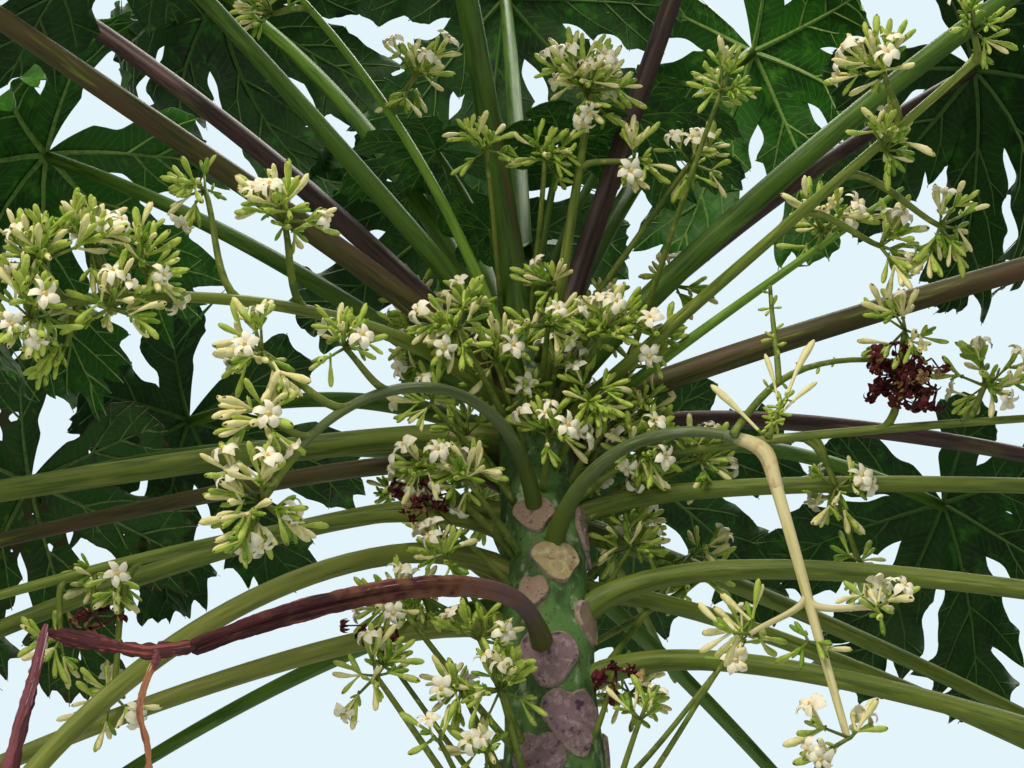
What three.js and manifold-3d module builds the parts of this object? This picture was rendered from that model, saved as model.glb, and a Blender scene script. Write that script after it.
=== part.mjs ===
// A male papaya tree in flower, at its real size in millimetres, with +Z up.
// A single leaning stem carries a spiral crown of long-stalked, hand-shaped leaves.
// Long branching flower stalks come out of the axils between the leaf stalks.
// The origin is the middle of the flat cut under the stem, at ground level.
import * as THREE from "three";
import { mergeVertices } from "three/addons/utils/BufferGeometryUtils.js";
import Module from "manifold-3d";

const wasm = await Module();
wasm.setup();

// Stem: height of its tip, how far the tip leans towards -X, and its radius at heights above the ground.
const STEM_HEIGHT = 2650;
const STEM_LEAN = 70;
const STEM_SIDES = 16;
const STEM_PROFILE = [
  [0, 135],
  [35, 112],
  [110, 97],
  [320, 88],
  [900, 78],
  [1500, 67],
  [1950, 55],
  [2220, 46],
  [2430, 42],
  [2560, 38],
  [2615, 33],
  [2642, 24],
  [STEM_HEIGHT, 12],
];

// Clearance that touching pieces keep, and how deep a stalk's foot starts inside the stem before it is cut.
const GAP = 0.35;
const FOOT_DEPTH = 9;

// Leaf stalks and flower stalks: sides and rings, the swelling of the foot that clasps the stem,
// how far along the foot's extra lift fades, and the share of the radius that is left at the end.
const STALK_SIDES = 5;
const STALK_RINGS = 7;
const FOOT_SWELL = 1.25;
const FOOT_LENGTH = 60;
const LIFT_LENGTH = 70;
const LEAF_STALK_TAPER = 0.7;
const FLOWER_STALK_TAPER = 0.5;
const LINE_STEPS = 42;

// Leaf blades: thickness, and the seven lobes by angle from the middle one and by share of its length.
// The notches between lobes reach in to a share of the lobes' length, and deeper at the back.
const BLADE_THICKNESS = 4;
const LOBES = [
  [-138, 0.6],
  [-92, 0.84],
  [-45, 0.96],
  [0, 1],
  [45, 0.96],
  [92, 0.84],
  [138, 0.6],
];
const SINUS_DEPTH = 0.3;
const BACK_SINUS_ANGLE = 168;
const BACK_SINUS_REACH = 0.34;
const SHOULDER_AT = 0.62;
const SHOULDER_HALF_WIDTH = 0.19;
const HUB_RISE = 12;
const BLADE_NORMAL = new THREE.Vector3(0, 0, 1);

// The crown, youngest leaf first. Each row is one leaf:
// name, drop of its foot below the stem's tip, azimuth (0 is +X, 90 is +Y), rise of its stalk,
// how far the stalk bends down by its end, extra lift at its foot, stalk length and radius,
// and of its blade the reach, the pitch of the middle lobe and the droop of the lobes.
const LEAVES = [
  ["back_tall", 22, 94, 74, 16, 0, 860, 12, 335, -45, 70],
  ["front_tall", 30, 251, 66, 24, 0, 740, 14, 370, -35, 65],
  ["back_left_tall", 44, 144, 66, 18, 0, 900, 12, 380, -50, 82],
  ["back_right_tall", 50, 50, 66, 18, 0, 860, 12, 365, -46, 70],
  ["left_steep", 52, 220, 35, 6, 0, 580, 11, 330, -16, 34],
  ["right_tall", 64, 320, 66, 2, 0, 740, 12, 355, -35, 55],
  ["right_high_behind", 78, 14, 50, 12, 0, 740, 11, 350, -50, 66],
  ["back_high", 82, 101, 57, 20, 0, 850, 11, 358, -55, 72],
  ["left_purple", 90, 190, 48, 20, 6, 900, 12, 348, -45, 60],
  ["right_high", 98, 338, 42, 18, 0, 880, 13, 380, -45, 65],
  ["left_behind", 116, 163, 46, 16, 0, 740, 11, 370, -50, 70],
  ["back_middle", 112, 78, 34, 22, 0, 780, 11, 320, -55, 52],
  ["left_front", 122, 215, 18, 2, 40, 920, 13, 330, -45, 55],
  ["right_arching", 136, 346, 14, 8, 12, 980, 13, 370, -50, 60],
  ["back_left_middle", 138, 128, 36, 22, 0, 800, 11, 312, -55, 60],
  ["back_right_middle", 146, 48, 27, 22, 0, 840, 11, 322, -60, 65],
  ["left_level", 150, 183, -8, 8, 14, 960, 13, 360, -55, 50],
  ["right_level", 164, 11, 8, 28, 40, 980, 10, 360, -60, 50],
  ["left_back_spotted", 166, 146, 24, 20, 0, 740, 11, 310, -60, 50],
  ["left_low_behind", 194, 166, -4, 4, 45, 760, 10, 312, -60, 50],
  ["right_low", 236, 352, 0, 10, 20, 740, 9, 350, -60, 50],
  ["left_long", 234, 178, -10, 26, 30, 940, 10, 350, -65, 50],
  ["back_right_low", 240, 34, -4, 8, 10, 920, 10, 350, -65, 50],
  ["left_arched", 304, 203, -14, 72, 40, 880, 10, 330, -70, 50],
  ["back_right_lowest", 276, 58, -8, 8, 10, 880, 9, 340, -65, 50],
  ["left_low_dark", 324, 143, -2, 20, 20, 820, 9, 330, -65, 50],
  ["right_low_behind", 312, 18, -10, 14, 20, 760, 9, 340, -65, 50],
  ["right_arched", 344, 344, -6, 22, 46, 960, 10, 350, -60, 50],
  ["left_drooping", 352, 178, -12, 22, 20, 880, 10, 330, -70, 50],
  ["right_drooping", 412, 344, -14, 18, 40, 780, 10, 330, -65, 50],
];

// Flower stalks, by the same rules without a blade, swaying sideways along their length:
// name, drop, azimuth, sway, rise, bend, lift, length, radius.
const FLOWER_STALKS = [
  ["front_left", 94, 236, -34, 58, 14, 0, 460, 7],
  ["front_centre", 124, 288, 0, 60, 0, 0, 320, 7],
  ["right_rising", 146, 313, 0, 16, 0, 0, 560, 7],
  ["right_lower", 166, 326, 0, 20, 0, 16, 420, 6],
  ["left_far", 146, 240, -40, 2, 24, 14, 560, 8],
  ["left_arch", 250, 262, -70, 38, 100, 0, 400, 7],
  ["left_long", 258, 188, 0, -12, 12, 40, 640, 7],
  ["right_arch", 286, 286, 60, 40, 74, 0, 290, 8],
  ["right_level", 200, 346, 0, 0, 4, 20, 560, 6],
  ["back_left", 168, 100, 0, 30, 40, 0, 480, 7],
  ["back_right", 210, 70, 0, 10, 30, 20, 480, 7],
];

// The pale stalk that hangs from the end of the arching one: name, azimuth, fall, length, radius.
const HANGING_STALK = ["flower_stalk_right_hanging", 346, 80, 270, 6];

// The stalk of a dead leaf, in a row like the flower stalks'.
const DEAD_LEAF_STALK = ["dried_leaf_stalk", 392, 262, -64, -14, 16, 40, 480, 9];

const MATERIALS = {
  stem: new THREE.MeshStandardMaterial({ color: 0x6f8a5a, roughness: 0.75, metalness: 0 }),
  leaf: new THREE.MeshStandardMaterial({ color: 0x3c5f22, roughness: 0.5, metalness: 0 }),
  flowerStalk: new THREE.MeshStandardMaterial({ color: 0x94a24a, roughness: 0.5, metalness: 0 }),
  driedStalk: new THREE.MeshStandardMaterial({ color: 0x5a2f2c, roughness: 0.8, metalness: 0 }),
};

const radians = THREE.MathUtils.degToRad;

// The point on the stem's own line at a height above the ground.
function stemAxis(height) {
  return new THREE.Vector3(-STEM_LEAN * (height / STEM_HEIGHT) ** 2, 0, height);
}

// The stem's radius at a height, read between the rows of its profile.
function stemRadius(height) {
  const above = STEM_PROFILE.findIndex(([z]) => z >= height);
  if (above < 1) return STEM_PROFILE[above < 0 ? STEM_PROFILE.length - 1 : 0][1];
  const [lowZ, lowR] = STEM_PROFILE[above - 1];
  const [highZ, highR] = STEM_PROFILE[above];
  return THREE.MathUtils.mapLinear(height, lowZ, highZ, lowR, highR);
}

// A unit vector from an azimuth and an elevation in degrees.
function direction(azimuth, elevation) {
  const [a, e] = [radians(azimuth), radians(elevation)];
  return new THREE.Vector3(Math.cos(e) * Math.cos(a), Math.cos(e) * Math.sin(a), Math.sin(e));
}

// The skin over rings of points, closed by a middle point at its start and, unless left open, at its end.
function skin(rings, openEnd = false) {
  const sides = rings[0].length;
  const corners = rings.flat();
  const faces = [];
  for (let ring = 0; ring + 1 < rings.length; ring++) {
    for (let side = 0; side < sides; side++) {
      const a = ring * sides + side;
      const b = ring * sides + ((side + 1) % sides);
      faces.push(a, b, b + sides, a, b + sides, a + sides);
    }
  }
  const close = (ring, first, atStart) => {
    const sum = ring.reduce((total, corner) => total.add(corner), new THREE.Vector3());
    const middle = corners.push(sum.divideScalar(sides)) - 1;
    for (let side = 0; side < sides; side++) {
      const pair = [first + side, first + ((side + 1) % sides)];
      faces.push(middle, ...(atStart ? pair.reverse() : pair));
    }
  };
  close(rings[0], 0, true);
  if (!openEnd) close(rings.at(-1), (rings.length - 1) * sides, false);
  return { corners, faces };
}

function geometryFrom({ corners, faces }) {
  const geometry = new THREE.BufferGeometry().setFromPoints(corners);
  geometry.setIndex(faces);
  return geometry;
}

// Solids for cutting: a geometry as a manifold-3d solid, and back.
function solidFrom(geometry) {
  const bare = geometry.clone();
  bare.deleteAttribute("normal");
  bare.deleteAttribute("uv");
  const merged = mergeVertices(bare);
  return new wasm.Manifold(
    new wasm.Mesh({
      numProp: 3,
      vertProperties: new Float32Array(merged.attributes.position.array),
      triVerts: new Uint32Array(merged.index.array),
    }),
  );
}

function geometryOf(solid) {
  const { vertProperties, triVerts } = solid.getMesh();
  const geometry = new THREE.BufferGeometry();
  geometry.setAttribute("position", new THREE.BufferAttribute(vertProperties, 3));
  geometry.setIndex(new THREE.BufferAttribute(triVerts, 1));
  geometry.computeVertexNormals();
  return geometry;
}

// The stem as a skin over level rings, wider by a clearance when it is used to cut its neighbours.
function stemGeometry(extra = 0) {
  const rings = STEM_PROFILE.map(([height, radius]) => {
    const centre = stemAxis(height);
    return Array.from({ length: STEM_SIDES }, (_, side) => {
      const turn = (2 * Math.PI * side) / STEM_SIDES;
      const reach = radius + extra;
      return new THREE.Vector3(centre.x + reach * Math.cos(turn), reach * Math.sin(turn), height);
    });
  });
  if (extra) rings.push(rings.at(-1).map((p) => p.clone().setZ(p.z + extra)));
  return geometryFrom(skin(rings));
}

// A line that starts at a point and follows an azimuth and an elevation that change along it.
function followed(start, azimuthAt, elevationAt, length) {
  const points = [start];
  const stride = length / LINE_STEPS;
  for (let step = 0; step < LINE_STEPS; step++) {
    const reach = (step + 0.5) * stride;
    const move = direction(azimuthAt(reach), elevationAt(reach)).multiplyScalar(stride);
    points.push(points.at(-1).clone().add(move));
  }
  return points.filter((_, i) => i % (LINE_STEPS / STALK_RINGS) === 0);
}

// The line of a stalk that leaves the stem at a drop below its tip. Its foot starts inside the stem.
function stalkLine({ drop, azimuth, sway = 0, rise, bend, lift, length }) {
  const height = STEM_HEIGHT - drop;
  const inside = Math.max(stemRadius(height) - FOOT_DEPTH, 0);
  const start = direction(azimuth, 0).multiplyScalar(inside).add(stemAxis(height));
  const azimuthAt = (reach) => azimuth + (sway * reach) / length;
  const elevationAt = (reach) => rise + lift * Math.exp(-reach / LIFT_LENGTH) - (bend * reach) / length;
  return followed(start, azimuthAt, elevationAt, length);
}

// The rings of a tapering limb round a line, with a swollen foot where it clasps the stem.
// Each ring starts at its top and turns towards the limb's right side.
function limbRings(line, radius, taper, swell = FOOT_SWELL) {
  let reach = 0;
  return line.map((point, i) => {
    const before = line[Math.max(i - 1, 0)];
    const after = line[Math.min(i + 1, line.length - 1)];
    if (i > 0) reach += point.distanceTo(before);
    const forward = after.clone().sub(before).normalize();
    const side = new THREE.Vector3(-forward.y, forward.x, 0).normalize();
    const up = forward.clone().cross(side);
    const foot = 1 + (swell - 1) * Math.exp(-((reach / FOOT_LENGTH) ** 2));
    const thick = radius * foot * THREE.MathUtils.lerp(1, taper, i / (line.length - 1));
    return Array.from({ length: STALK_SIDES }, (_, corner) => {
      const turn = (2 * Math.PI * corner) / STALK_SIDES;
      return point
        .clone()
        .addScaledVector(up, thick * Math.cos(turn))
        .addScaledVector(side, -thick * Math.sin(turn));
    });
  });
}

// A leaf: its stalk, and on the stalk's end a blade of seven pointed lobes that bend down in arcs.
// The blade is a thin shell whose underside runs into the stalk's last ring.
function leafGeometry(line, radius, azimuth, bladeReach, pitch, droop) {
  const { corners, faces } = skin(limbRings(line, radius, LEAF_STALK_TAPER), true);
  const endRing = STALK_RINGS * STALK_SIDES;
  const frame = new THREE.Matrix4().makeBasis(
    direction(azimuth, pitch),
    direction(azimuth + 90, 0),
    direction(azimuth, pitch + 90),
  );
  const hub = line.at(-1).clone().add(new THREE.Vector3(0, 0, HUB_RISE).applyMatrix4(frame));
  const bendRadius = bladeReach / radians(droop);
  // Adds a corner on the top skin and one under it, so far along the lobe at an angle, and so far aside.
  const add = (angle, along, aside = 0) => {
    for (const under of [0, BLADE_THICKNESS]) {
      const out = (bendRadius - under) * Math.sin(along / bendRadius);
      const down = bendRadius - (bendRadius - under) * Math.cos(along / bendRadius);
      const place = new THREE.Vector3(out, aside, -down).applyAxisAngle(BLADE_NORMAL, radians(angle));
      corners.push(place.applyMatrix4(frame).add(hub));
    }
    return corners.length - 2;
  };
  const outline = [];
  const backSinus = bladeReach * BACK_SINUS_REACH * LOBES[0][1];
  outline.push([add(-BACK_SINUS_ANGLE, backSinus), -BACK_SINUS_ANGLE]);
  LOBES.forEach(([angle, share], i) => {
    const reach = bladeReach * share;
    const aside = reach * SHOULDER_HALF_WIDTH;
    const slant = THREE.MathUtils.radToDeg(Math.atan2(SHOULDER_HALF_WIDTH, SHOULDER_AT));
    if (i > 0) {
      const [lastAngle, lastShare] = LOBES[i - 1];
      const between = (angle + lastAngle) / 2;
      outline.push([add(between, (bladeReach * SINUS_DEPTH * (share + lastShare)) / 2), between]);
    }
    outline.push([add(angle, reach * SHOULDER_AT, -aside), angle - slant]);
    outline.push([add(angle, reach), angle]);
    outline.push([add(angle, reach * SHOULDER_AT, aside), angle + slant]);
  });
  outline.push([add(BACK_SINUS_ANGLE, backSinus), BACK_SINUS_ANGLE]);
  const middle = corners.push(hub) - 1;
  const wall = (a, aUnder, b, bUnder) => faces.push(a, aUnder, bUnder, a, bUnder, b);
  const ringCorner = (turned) => endRing + (turned % STALK_SIDES);
  let turned = 0;
  for (let i = 0; i + 1 < outline.length; i++) {
    const [a] = outline[i];
    const [b, angle] = outline[i + 1];
    faces.push(middle, a, b, ringCorner(turned), b + 1, a + 1);
    wall(a, a + 1, b, b + 1);
    // The underside moves on to the stalk's next corner once the outline has passed the side between them.
    while (turned < STALK_SIDES && angle > -180 + ((turned + 0.5) * 360) / STALK_SIDES) {
      faces.push(ringCorner(turned), ringCorner(turned + 1), b + 1);
      turned++;
    }
  }
  const [first, last] = [outline[0][0], outline.at(-1)[0]];
  wall(last, last + 1, middle, endRing);
  wall(middle, endRing, first, first + 1);
  return geometryFrom({ corners, faces });
}

function named(name, solid, material) {
  const mesh = new THREE.Mesh(geometryOf(solid), material);
  mesh.name = name;
  return mesh;
}

const stem = solidFrom(stemGeometry());
const stemWithGap = solidFrom(stemGeometry(GAP));
const tree = new THREE.Group();
tree.add(named("stem", stem, MATERIALS.stem));

function addLeaf([name, drop, azimuth, rise, bend, lift, length, radius, reach, pitch, droop]) {
  const line = stalkLine({ drop, azimuth, rise, bend, lift, length });
  const leaf = solidFrom(leafGeometry(line, radius, azimuth, reach, pitch, droop));
  tree.add(named("leaf_" + name, leaf.subtract(stemWithGap), MATERIALS.leaf));
}

// Adds a stalk without a blade, and returns its line.
function addStalk([name, drop, azimuth, sway, rise, bend, lift, length, radius], taper, material) {
  const line = stalkLine({ drop, azimuth, sway, rise, bend, lift, length });
  const stalk = solidFrom(geometryFrom(skin(limbRings(line, radius, taper))));
  tree.add(named(name, stalk.subtract(stemWithGap), material));
  return line;
}

// The pale stalk hangs from just under the end of an arching one, and has no swollen foot.
function addHangingStalk(archLine, [name, azimuth, fall, length, radius]) {
  const start = archLine.at(-1).clone().add(new THREE.Vector3(0, 0, -GAP - radius));
  const line = followed(start, () => azimuth, () => -fall, length);
  const rings = limbRings(line, radius, FLOWER_STALK_TAPER, 1);
  tree.add(named(name, solidFrom(geometryFrom(skin(rings))), MATERIALS.flowerStalk));
}

LEAVES.forEach(addLeaf);
const stalkLines = {};
for (const [name, ...sizes] of FLOWER_STALKS) {
  const row = ["flower_stalk_" + name, ...sizes];
  stalkLines[name] = addStalk(row, FLOWER_STALK_TAPER, MATERIALS.flowerStalk);
}
addHangingStalk(stalkLines.right_arch, HANGING_STALK);
addStalk(DEAD_LEAF_STALK, LEAF_STALK_TAPER, MATERIALS.driedStalk);

export default tree;
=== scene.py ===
# A male papaya tree in flower, in metres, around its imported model.
# Lengths in the tables below are millimetres and angles are degrees; pieces are scaled when they are made.
import math

import bmesh
import bpy
import numpy as np
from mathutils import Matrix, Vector
from mathutils.geometry import delaunay_2d_cdt


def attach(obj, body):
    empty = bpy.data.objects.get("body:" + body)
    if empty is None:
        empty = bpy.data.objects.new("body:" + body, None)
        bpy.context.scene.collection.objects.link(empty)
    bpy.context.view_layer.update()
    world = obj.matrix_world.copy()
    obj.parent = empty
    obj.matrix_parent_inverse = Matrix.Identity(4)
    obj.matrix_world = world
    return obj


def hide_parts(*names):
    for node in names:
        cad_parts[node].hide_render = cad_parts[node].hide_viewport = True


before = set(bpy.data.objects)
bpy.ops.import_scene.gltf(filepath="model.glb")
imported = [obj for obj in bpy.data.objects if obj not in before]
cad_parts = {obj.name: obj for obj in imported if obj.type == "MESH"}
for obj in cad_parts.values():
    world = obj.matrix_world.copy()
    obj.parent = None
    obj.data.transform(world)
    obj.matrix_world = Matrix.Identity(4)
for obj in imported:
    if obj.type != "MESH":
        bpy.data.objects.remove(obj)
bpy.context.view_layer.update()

MM = 0.001
SEED = 2779

# The camera, as worked out from the photograph: place in millimetres, pitch above level, and lens.
CAMERA_PLACE = (-85, -1696, 1587)
CAMERA_PITCH = 30
CAMERA_LENS = 66.8
SENSOR_WIDTH = 36
PHOTO_SIZE = (1024, 768)

# The stem: height of its tip, lean of the tip towards -X, and radius at heights above the ground.
STEM_HEIGHT = 2650
STEM_LEAN = 70
STEM_PROFILE = [
    (0, 135), (35, 112), (110, 97), (320, 88), (900, 78), (1500, 67), (1950, 55),
    (2220, 46), (2430, 42), (2560, 38), (2615, 33), (2642, 24), (2650, 12),
]

# Stalks: how deep a foot starts inside the stem, its swelling, and how its extra lift fades.
FOOT_DEPTH = 9
FOOT_SWELL = 1.25
FOOT_LENGTH = 60
LIFT_LENGTH = 70
LEAF_STALK_TAPER = 0.7
FLOWER_STALK_TAPER = 0.5
LINE_STEPS = 42
HUB_RISE = 12

# The crown, youngest leaf first. Each row is one leaf:
# name, drop of its foot below the stem's tip, azimuth (0 is +X, 90 is +Y), rise of its stalk,
# how far the stalk bends down by its end, extra lift at its foot, stalk length and radius,
# and of its blade the reach, the pitch of the middle lobe and the droop of the lobes,
# then the finish of its stalk and of its blade. The blade's dark and bright finishes are painted shade and
# painted light.
LEAVES = [
    ("back_tall", 22, 94, 74, 16, 0, 860, 12, 335, -45, 70, "green", "dark"),
    ("front_tall", 30, 251, 66, 24, 0, 740, 14, 370, -35, 65, "striped", "dark"),
    ("back_left_tall", 44, 144, 66, 18, 0, 900, 12, 380, -50, 82, "green", "dark"),
    ("back_right_tall", 50, 50, 66, 18, 0, 860, 12, 365, -46, 70, "green", "painted_light"),
    ("left_steep", 52, 220, 35, 6, 0, 580, 11, 330, -16, 34, "green", "dark"),
    ("right_tall", 64, 320, 66, 2, 0, 740, 12, 355, -35, 55, "purple", "painted_light"),
    ("right_high_behind", 78, 14, 50, 12, 0, 740, 11, 350, -50, 66, "purple", "dark"),
    ("back_high", 82, 101, 57, 20, 0, 850, 11, 358, -55, 72, "green", "dark"),
    ("left_purple", 90, 190, 48, 20, 6, 900, 12, 348, -45, 60, "purple", "dark"),
    ("right_high", 98, 338, 42, 18, 0, 880, 13, 380, -45, 65, "green", "old"),
    ("left_behind", 116, 163, 46, 16, 0, 740, 11, 370, -50, 70, "green", "painted_light"),
    ("back_middle", 112, 78, 34, 22, 0, 780, 11, 320, -55, 52, "green", "dark"),
    ("left_front", 122, 215, 18, 2, 40, 920, 13, 330, -45, 55, "brown", "dark"),
    ("right_arching", 136, 346, 14, 8, 12, 980, 13, 370, -50, 60, "brown", "dark"),
    ("back_left_middle", 138, 128, 36, 22, 0, 800, 11, 312, -55, 60, "green", "dark"),
    ("back_right_middle", 146, 48, 27, 22, 0, 840, 11, 322, -60, 65, "green", "dark"),
    ("left_level", 150, 183, -8, 8, 14, 960, 13, 360, -55, 50, "olive", "dark"),
    ("right_level", 164, 11, 8, 28, 40, 980, 10, 360, -60, 50, "purple", "specked"),
    ("left_back_spotted", 166, 146, 24, 20, 0, 740, 11, 310, -60, 50, "green", "specked"),
    ("left_low_behind", 194, 166, -4, 4, 45, 760, 10, 312, -60, 50, "brown", "specked"),
    ("right_low", 236, 352, 0, 10, 20, 740, 9, 350, -60, 50, "olive", "specked"),
    ("left_long", 234, 178, -10, 26, 30, 940, 10, 350, -65, 50, "olive", "specked"),
    ("back_right_low", 240, 34, -4, 8, 10, 920, 10, 350, -65, 50, "olive", "dark"),
    ("left_arched", 304, 203, -14, 72, 40, 880, 10, 330, -70, 50, "yellow", "old"),
    ("back_right_lowest", 276, 58, -8, 8, 10, 880, 9, 340, -65, 50, "green", "specked"),
    ("left_low_dark", 324, 143, -2, 20, 20, 820, 9, 330, -65, 50, "green", "specked"),
    ("right_low_behind", 312, 18, -10, 14, 20, 760, 9, 340, -65, 50, "olive", "old"),
    ("right_arched", 344, 344, -6, 22, 46, 960, 10, 350, -60, 50, "olive", "specked"),
    ("left_drooping", 352, 178, -12, 22, 20, 880, 10, 330, -70, 50, "yellow", "old"),
    ("right_drooping", 412, 344, -14, 18, 40, 780, 10, 330, -65, 50, "olive", "old"),
]

# Flower stalks, by the same rules without a blade, swaying sideways along their length:
# name, drop, azimuth, sway, rise, bend, lift, length, radius, finish.
FLOWER_STALKS = [
    ("front_left", 94, 236, -34, 58, 14, 0, 460, 7, "fresh"),
    ("front_centre", 124, 288, 0, 60, 0, 0, 320, 7, "olive"),
    ("right_rising", 146, 313, 0, 16, 0, 0, 560, 7, "olive"),
    ("right_lower", 166, 326, 0, 20, 0, 16, 420, 6, "fresh"),
    ("left_far", 146, 240, -40, 2, 24, 14, 560, 8, "olive"),
    ("left_arch", 250, 262, -70, 38, 100, 0, 400, 7, "grey"),
    ("left_long", 258, 188, 0, -12, 12, 40, 640, 7, "olive"),
    ("right_arch", 286, 286, 60, 40, 74, 0, 290, 8, "grey"),
    ("right_level", 200, 346, 0, 0, 4, 20, 560, 6, "olive"),
    ("back_left", 168, 100, 0, 30, 40, 0, 480, 7, "fresh"),
    ("back_right", 210, 70, 0, 10, 30, 20, 480, 7, "olive"),
]
# The stalk that hangs from the end of the right arch: name, azimuth, fall below level, length and radius,
# and the gap between its top and the arch.
HANGING_STALK = ("right_hanging", 346, 80, 270, 6)
HANGING_GAP = 0.35
# The dead leaf's stalk: drop, azimuth, sway, rise, bend, lift, length and radius.
DEAD_LEAF_STALK = (392, 262, -64, -14, 16, 40, 480, 9)

# Young leaves at the tip: azimuth, rise, length and radius of the stalk, reach and pitch of the blade.
# Each stands a step lower than the one before. They share one bend, one droop and one rise of the hub,
# and the seeds of their blades come after those of the grown leaves.
YOUNG_LEAF_DROP = 6
YOUNG_LEAF_STEP = 3
YOUNG_LEAF_BEND = 20
YOUNG_LEAF_DROOP = 40
YOUNG_HUB_RISE = 2
YOUNG_LEAF_SEED = 50
YOUNG_LEAVES = [
    (20, 78, 330, 6, 150, -10), (165, 80, 260, 5, 120, 0), (300, 82, 200, 5, 95, 10),
    (75, 84, 150, 4, 75, 30), (215, 84, 110, 4, 60, 40),
]

# Heads of blossom that the photograph shows: the flower stalk or stem that carries it, the head's pixel,
# millimetres nearer to the camera than the stalk, or in front of the upright plane through the stem's axis,
# spread, buds, open flowers, and age from 0, small and green, to 1, large and cream.
HEADS = [
    ("front_centre", 585, 92, 0, 74, 64, 12, 0.75),
    ("front_centre", 634, 160, 12, 44, 16, 1, 0.6),
    ("stem", 690, 163, 120, 46, 24, 3, 0.6),
    ("front_left", 415, 76, 0, 52, 30, 4, 0.6),
    ("front_left", 272, 14, 0, 50, 26, 0, 0.55),
    ("left_far", 284, 222, 10, 62, 34, 4, 0.75),
    ("left_far", 205, 190, -60, 40, 22, 1, 0.4),
    ("left_far", 140, 262, 10, 52, 34, 3, 0.6),
    ("left_far", 92, 250, -10, 56, 40, 4, 0.7),
    ("left_far", 40, 262, 0, 58, 40, 3, 0.7),
    ("left_far", 110, 308, 20, 48, 30, 2, 0.6),
    ("left_far", 30, 318, 10, 54, 34, 5, 0.8),
    ("left_far", 66, 346, -10, 40, 20, 1, 0.5),
    ("left_arch", 262, 502, 10, 76, 44, 9, 0.85),
    ("left_arch", 262, 352, 0, 56, 26, 4, 0.9),
    ("left_arch", 345, 348, 0, 44, 22, 2, 0.5),
    ("left_arch", 268, 420, 10, 44, 16, 2, 0.9),
    ("stem", 458, 330, 170, 54, 42, 2, 0.6),
    ("stem", 548, 326, 130, 46, 34, 3, 0.5),
    ("stem", 606, 330, 130, 46, 32, 4, 0.5),
    ("stem", 656, 340, 110, 36, 20, 2, 0.4),
    ("stem", 518, 352, 78, 32, 22, 1, 0.3),
    ("stem", 556, 368, 84, 34, 20, 2, 0.4),
    ("stem", 528, 392, 76, 30, 18, 1, 0.3),
    ("stem", 592, 400, 100, 42, 32, 2, 0.5),
    ("stem", 548, 436, 92, 32, 18, 5, 0.7),
    ("stem", 466, 478, 110, 46, 30, 6, 0.7),
    ("stem", 426, 468, 110, 42, 28, 4, 0.5),
    ("stem", 640, 452, 50, 44, 32, 5, 0.6),
    ("stem", 700, 462, 30, 46, 30, 6, 0.7),
    ("stem", 432, 404, 130, 36, 20, 2, 0.5),
    ("stem", 448, 560, 100, 34, 16, 3, 0.6),
    ("stem", 480, 640, 90, 40, 22, 2, 0.4),
    ("stem", 462, 690, 96, 36, 22, 2, 0.4),
    ("stem", 486, 752, 90, 32, 16, 2, 0.6),
    ("stem", 398, 604, 100, 34, 18, 3, 0.6),
    ("stem", 724, 662, 100, 16, 3, 1, 0.9),
    ("stem", 742, 640, 50, 18, 4, 1, 0.9),
    ("right_rising", 884, 72, 0, 50, 24, 5, 0.7),
    ("right_rising", 884, 150, 0, 48, 28, 2, 0.6),
    ("right_rising", 974, 32, 0, 44, 24, 1, 0.5),
    ("right_lower", 822, 232, 0, 56, 26, 2, 0.8),
    ("right_rising", 940, 226, -40, 54, 30, 1, 0.7),
    ("right_rising", 880, 246, -30, 50, 24, 3, 0.7),
    ("right_level", 905, 330, 20, 52, 22, 2, 0.8),
    ("right_level", 985, 386, 0, 56, 32, 4, 0.6),
    ("right_level", 836, 488, 0, 46, 22, 4, 0.6),
    ("right_level", 860, 562, -20, 42, 18, 2, 0.6),
    ("right_hanging", 876, 608, 0, 38, 7, 2, 0.95),
    ("right_hanging", 750, 634, 0, 32, 7, 0, 0.95),
    ("right_hanging", 808, 642, 0, 24, 7, 0, 0.3),
    ("right_hanging", 850, 738, 0, 58, 10, 6, 0.95),
    ("stem", 376, 676, 120, 46, 26, 4, 0.6),
    ("stem", 500, 690, 110, 46, 34, 2, 0.4),
    ("stem", 440, 742, 120, 28, 4, 1, 0.7),
    ("stem", 640, 720, 100, 34, 14, 1, 0.4),
    ("left_long", 112, 694, 0, 50, 14, 4, 0.8),
    ("left_long", 116, 574, 0, 44, 30, 2, 0.5),
    ("left_long", 60, 640, 0, 40, 12, 1, 0.7),
    ("back_right", 722, 90, 0, 48, 34, 1, 0.4),
    ("back_left", 545, 160, 0, 50, 34, 0, 0.3),
    ("back_left", 486, 150, 0, 44, 24, 0, 0.3),
]

# Withered blossom, maroon and crumpled: carrier, pixel, millimetres nearer, spread, and count.
WITHERED = [
    ("right_level", 905, 374, 10, 34, 70),
    ("stem", 424, 500, 100, 26, 12),
    ("stem", 616, 668, 60, 20, 8),
    ("stem", 374, 640, 110, 20, 8),
    ("left_long", 92, 612, 0, 20, 8),
]

# Clubs of spent blossom at the hanging stalk's joint: pixels of the foot and of the tip.
HANGING_CLUBS = [
    ((762, 434), (711, 385)), ((778, 401), (765, 354)), ((786, 399), (814, 340)), ((780, 415), (817, 382)),
]
# Bare twigs at the same joint: pixels, thickness, number of small knobs, and how far each end is set back
# towards the withered blossom behind, as a share.
BARE_TWIGS = [
    ([(768, 438), (774, 418), (786, 399)], 3.4, 44, 0, 0),
    ([(733, 434), (756, 400), (781, 372), (812, 364), (850, 355), (903, 362)], 3.4, 10, 0, 1),
    ([(779, 384), (777, 352), (772, 316), (770, 286)], 2.8, 14, 0.36, 0.4),
]

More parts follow.
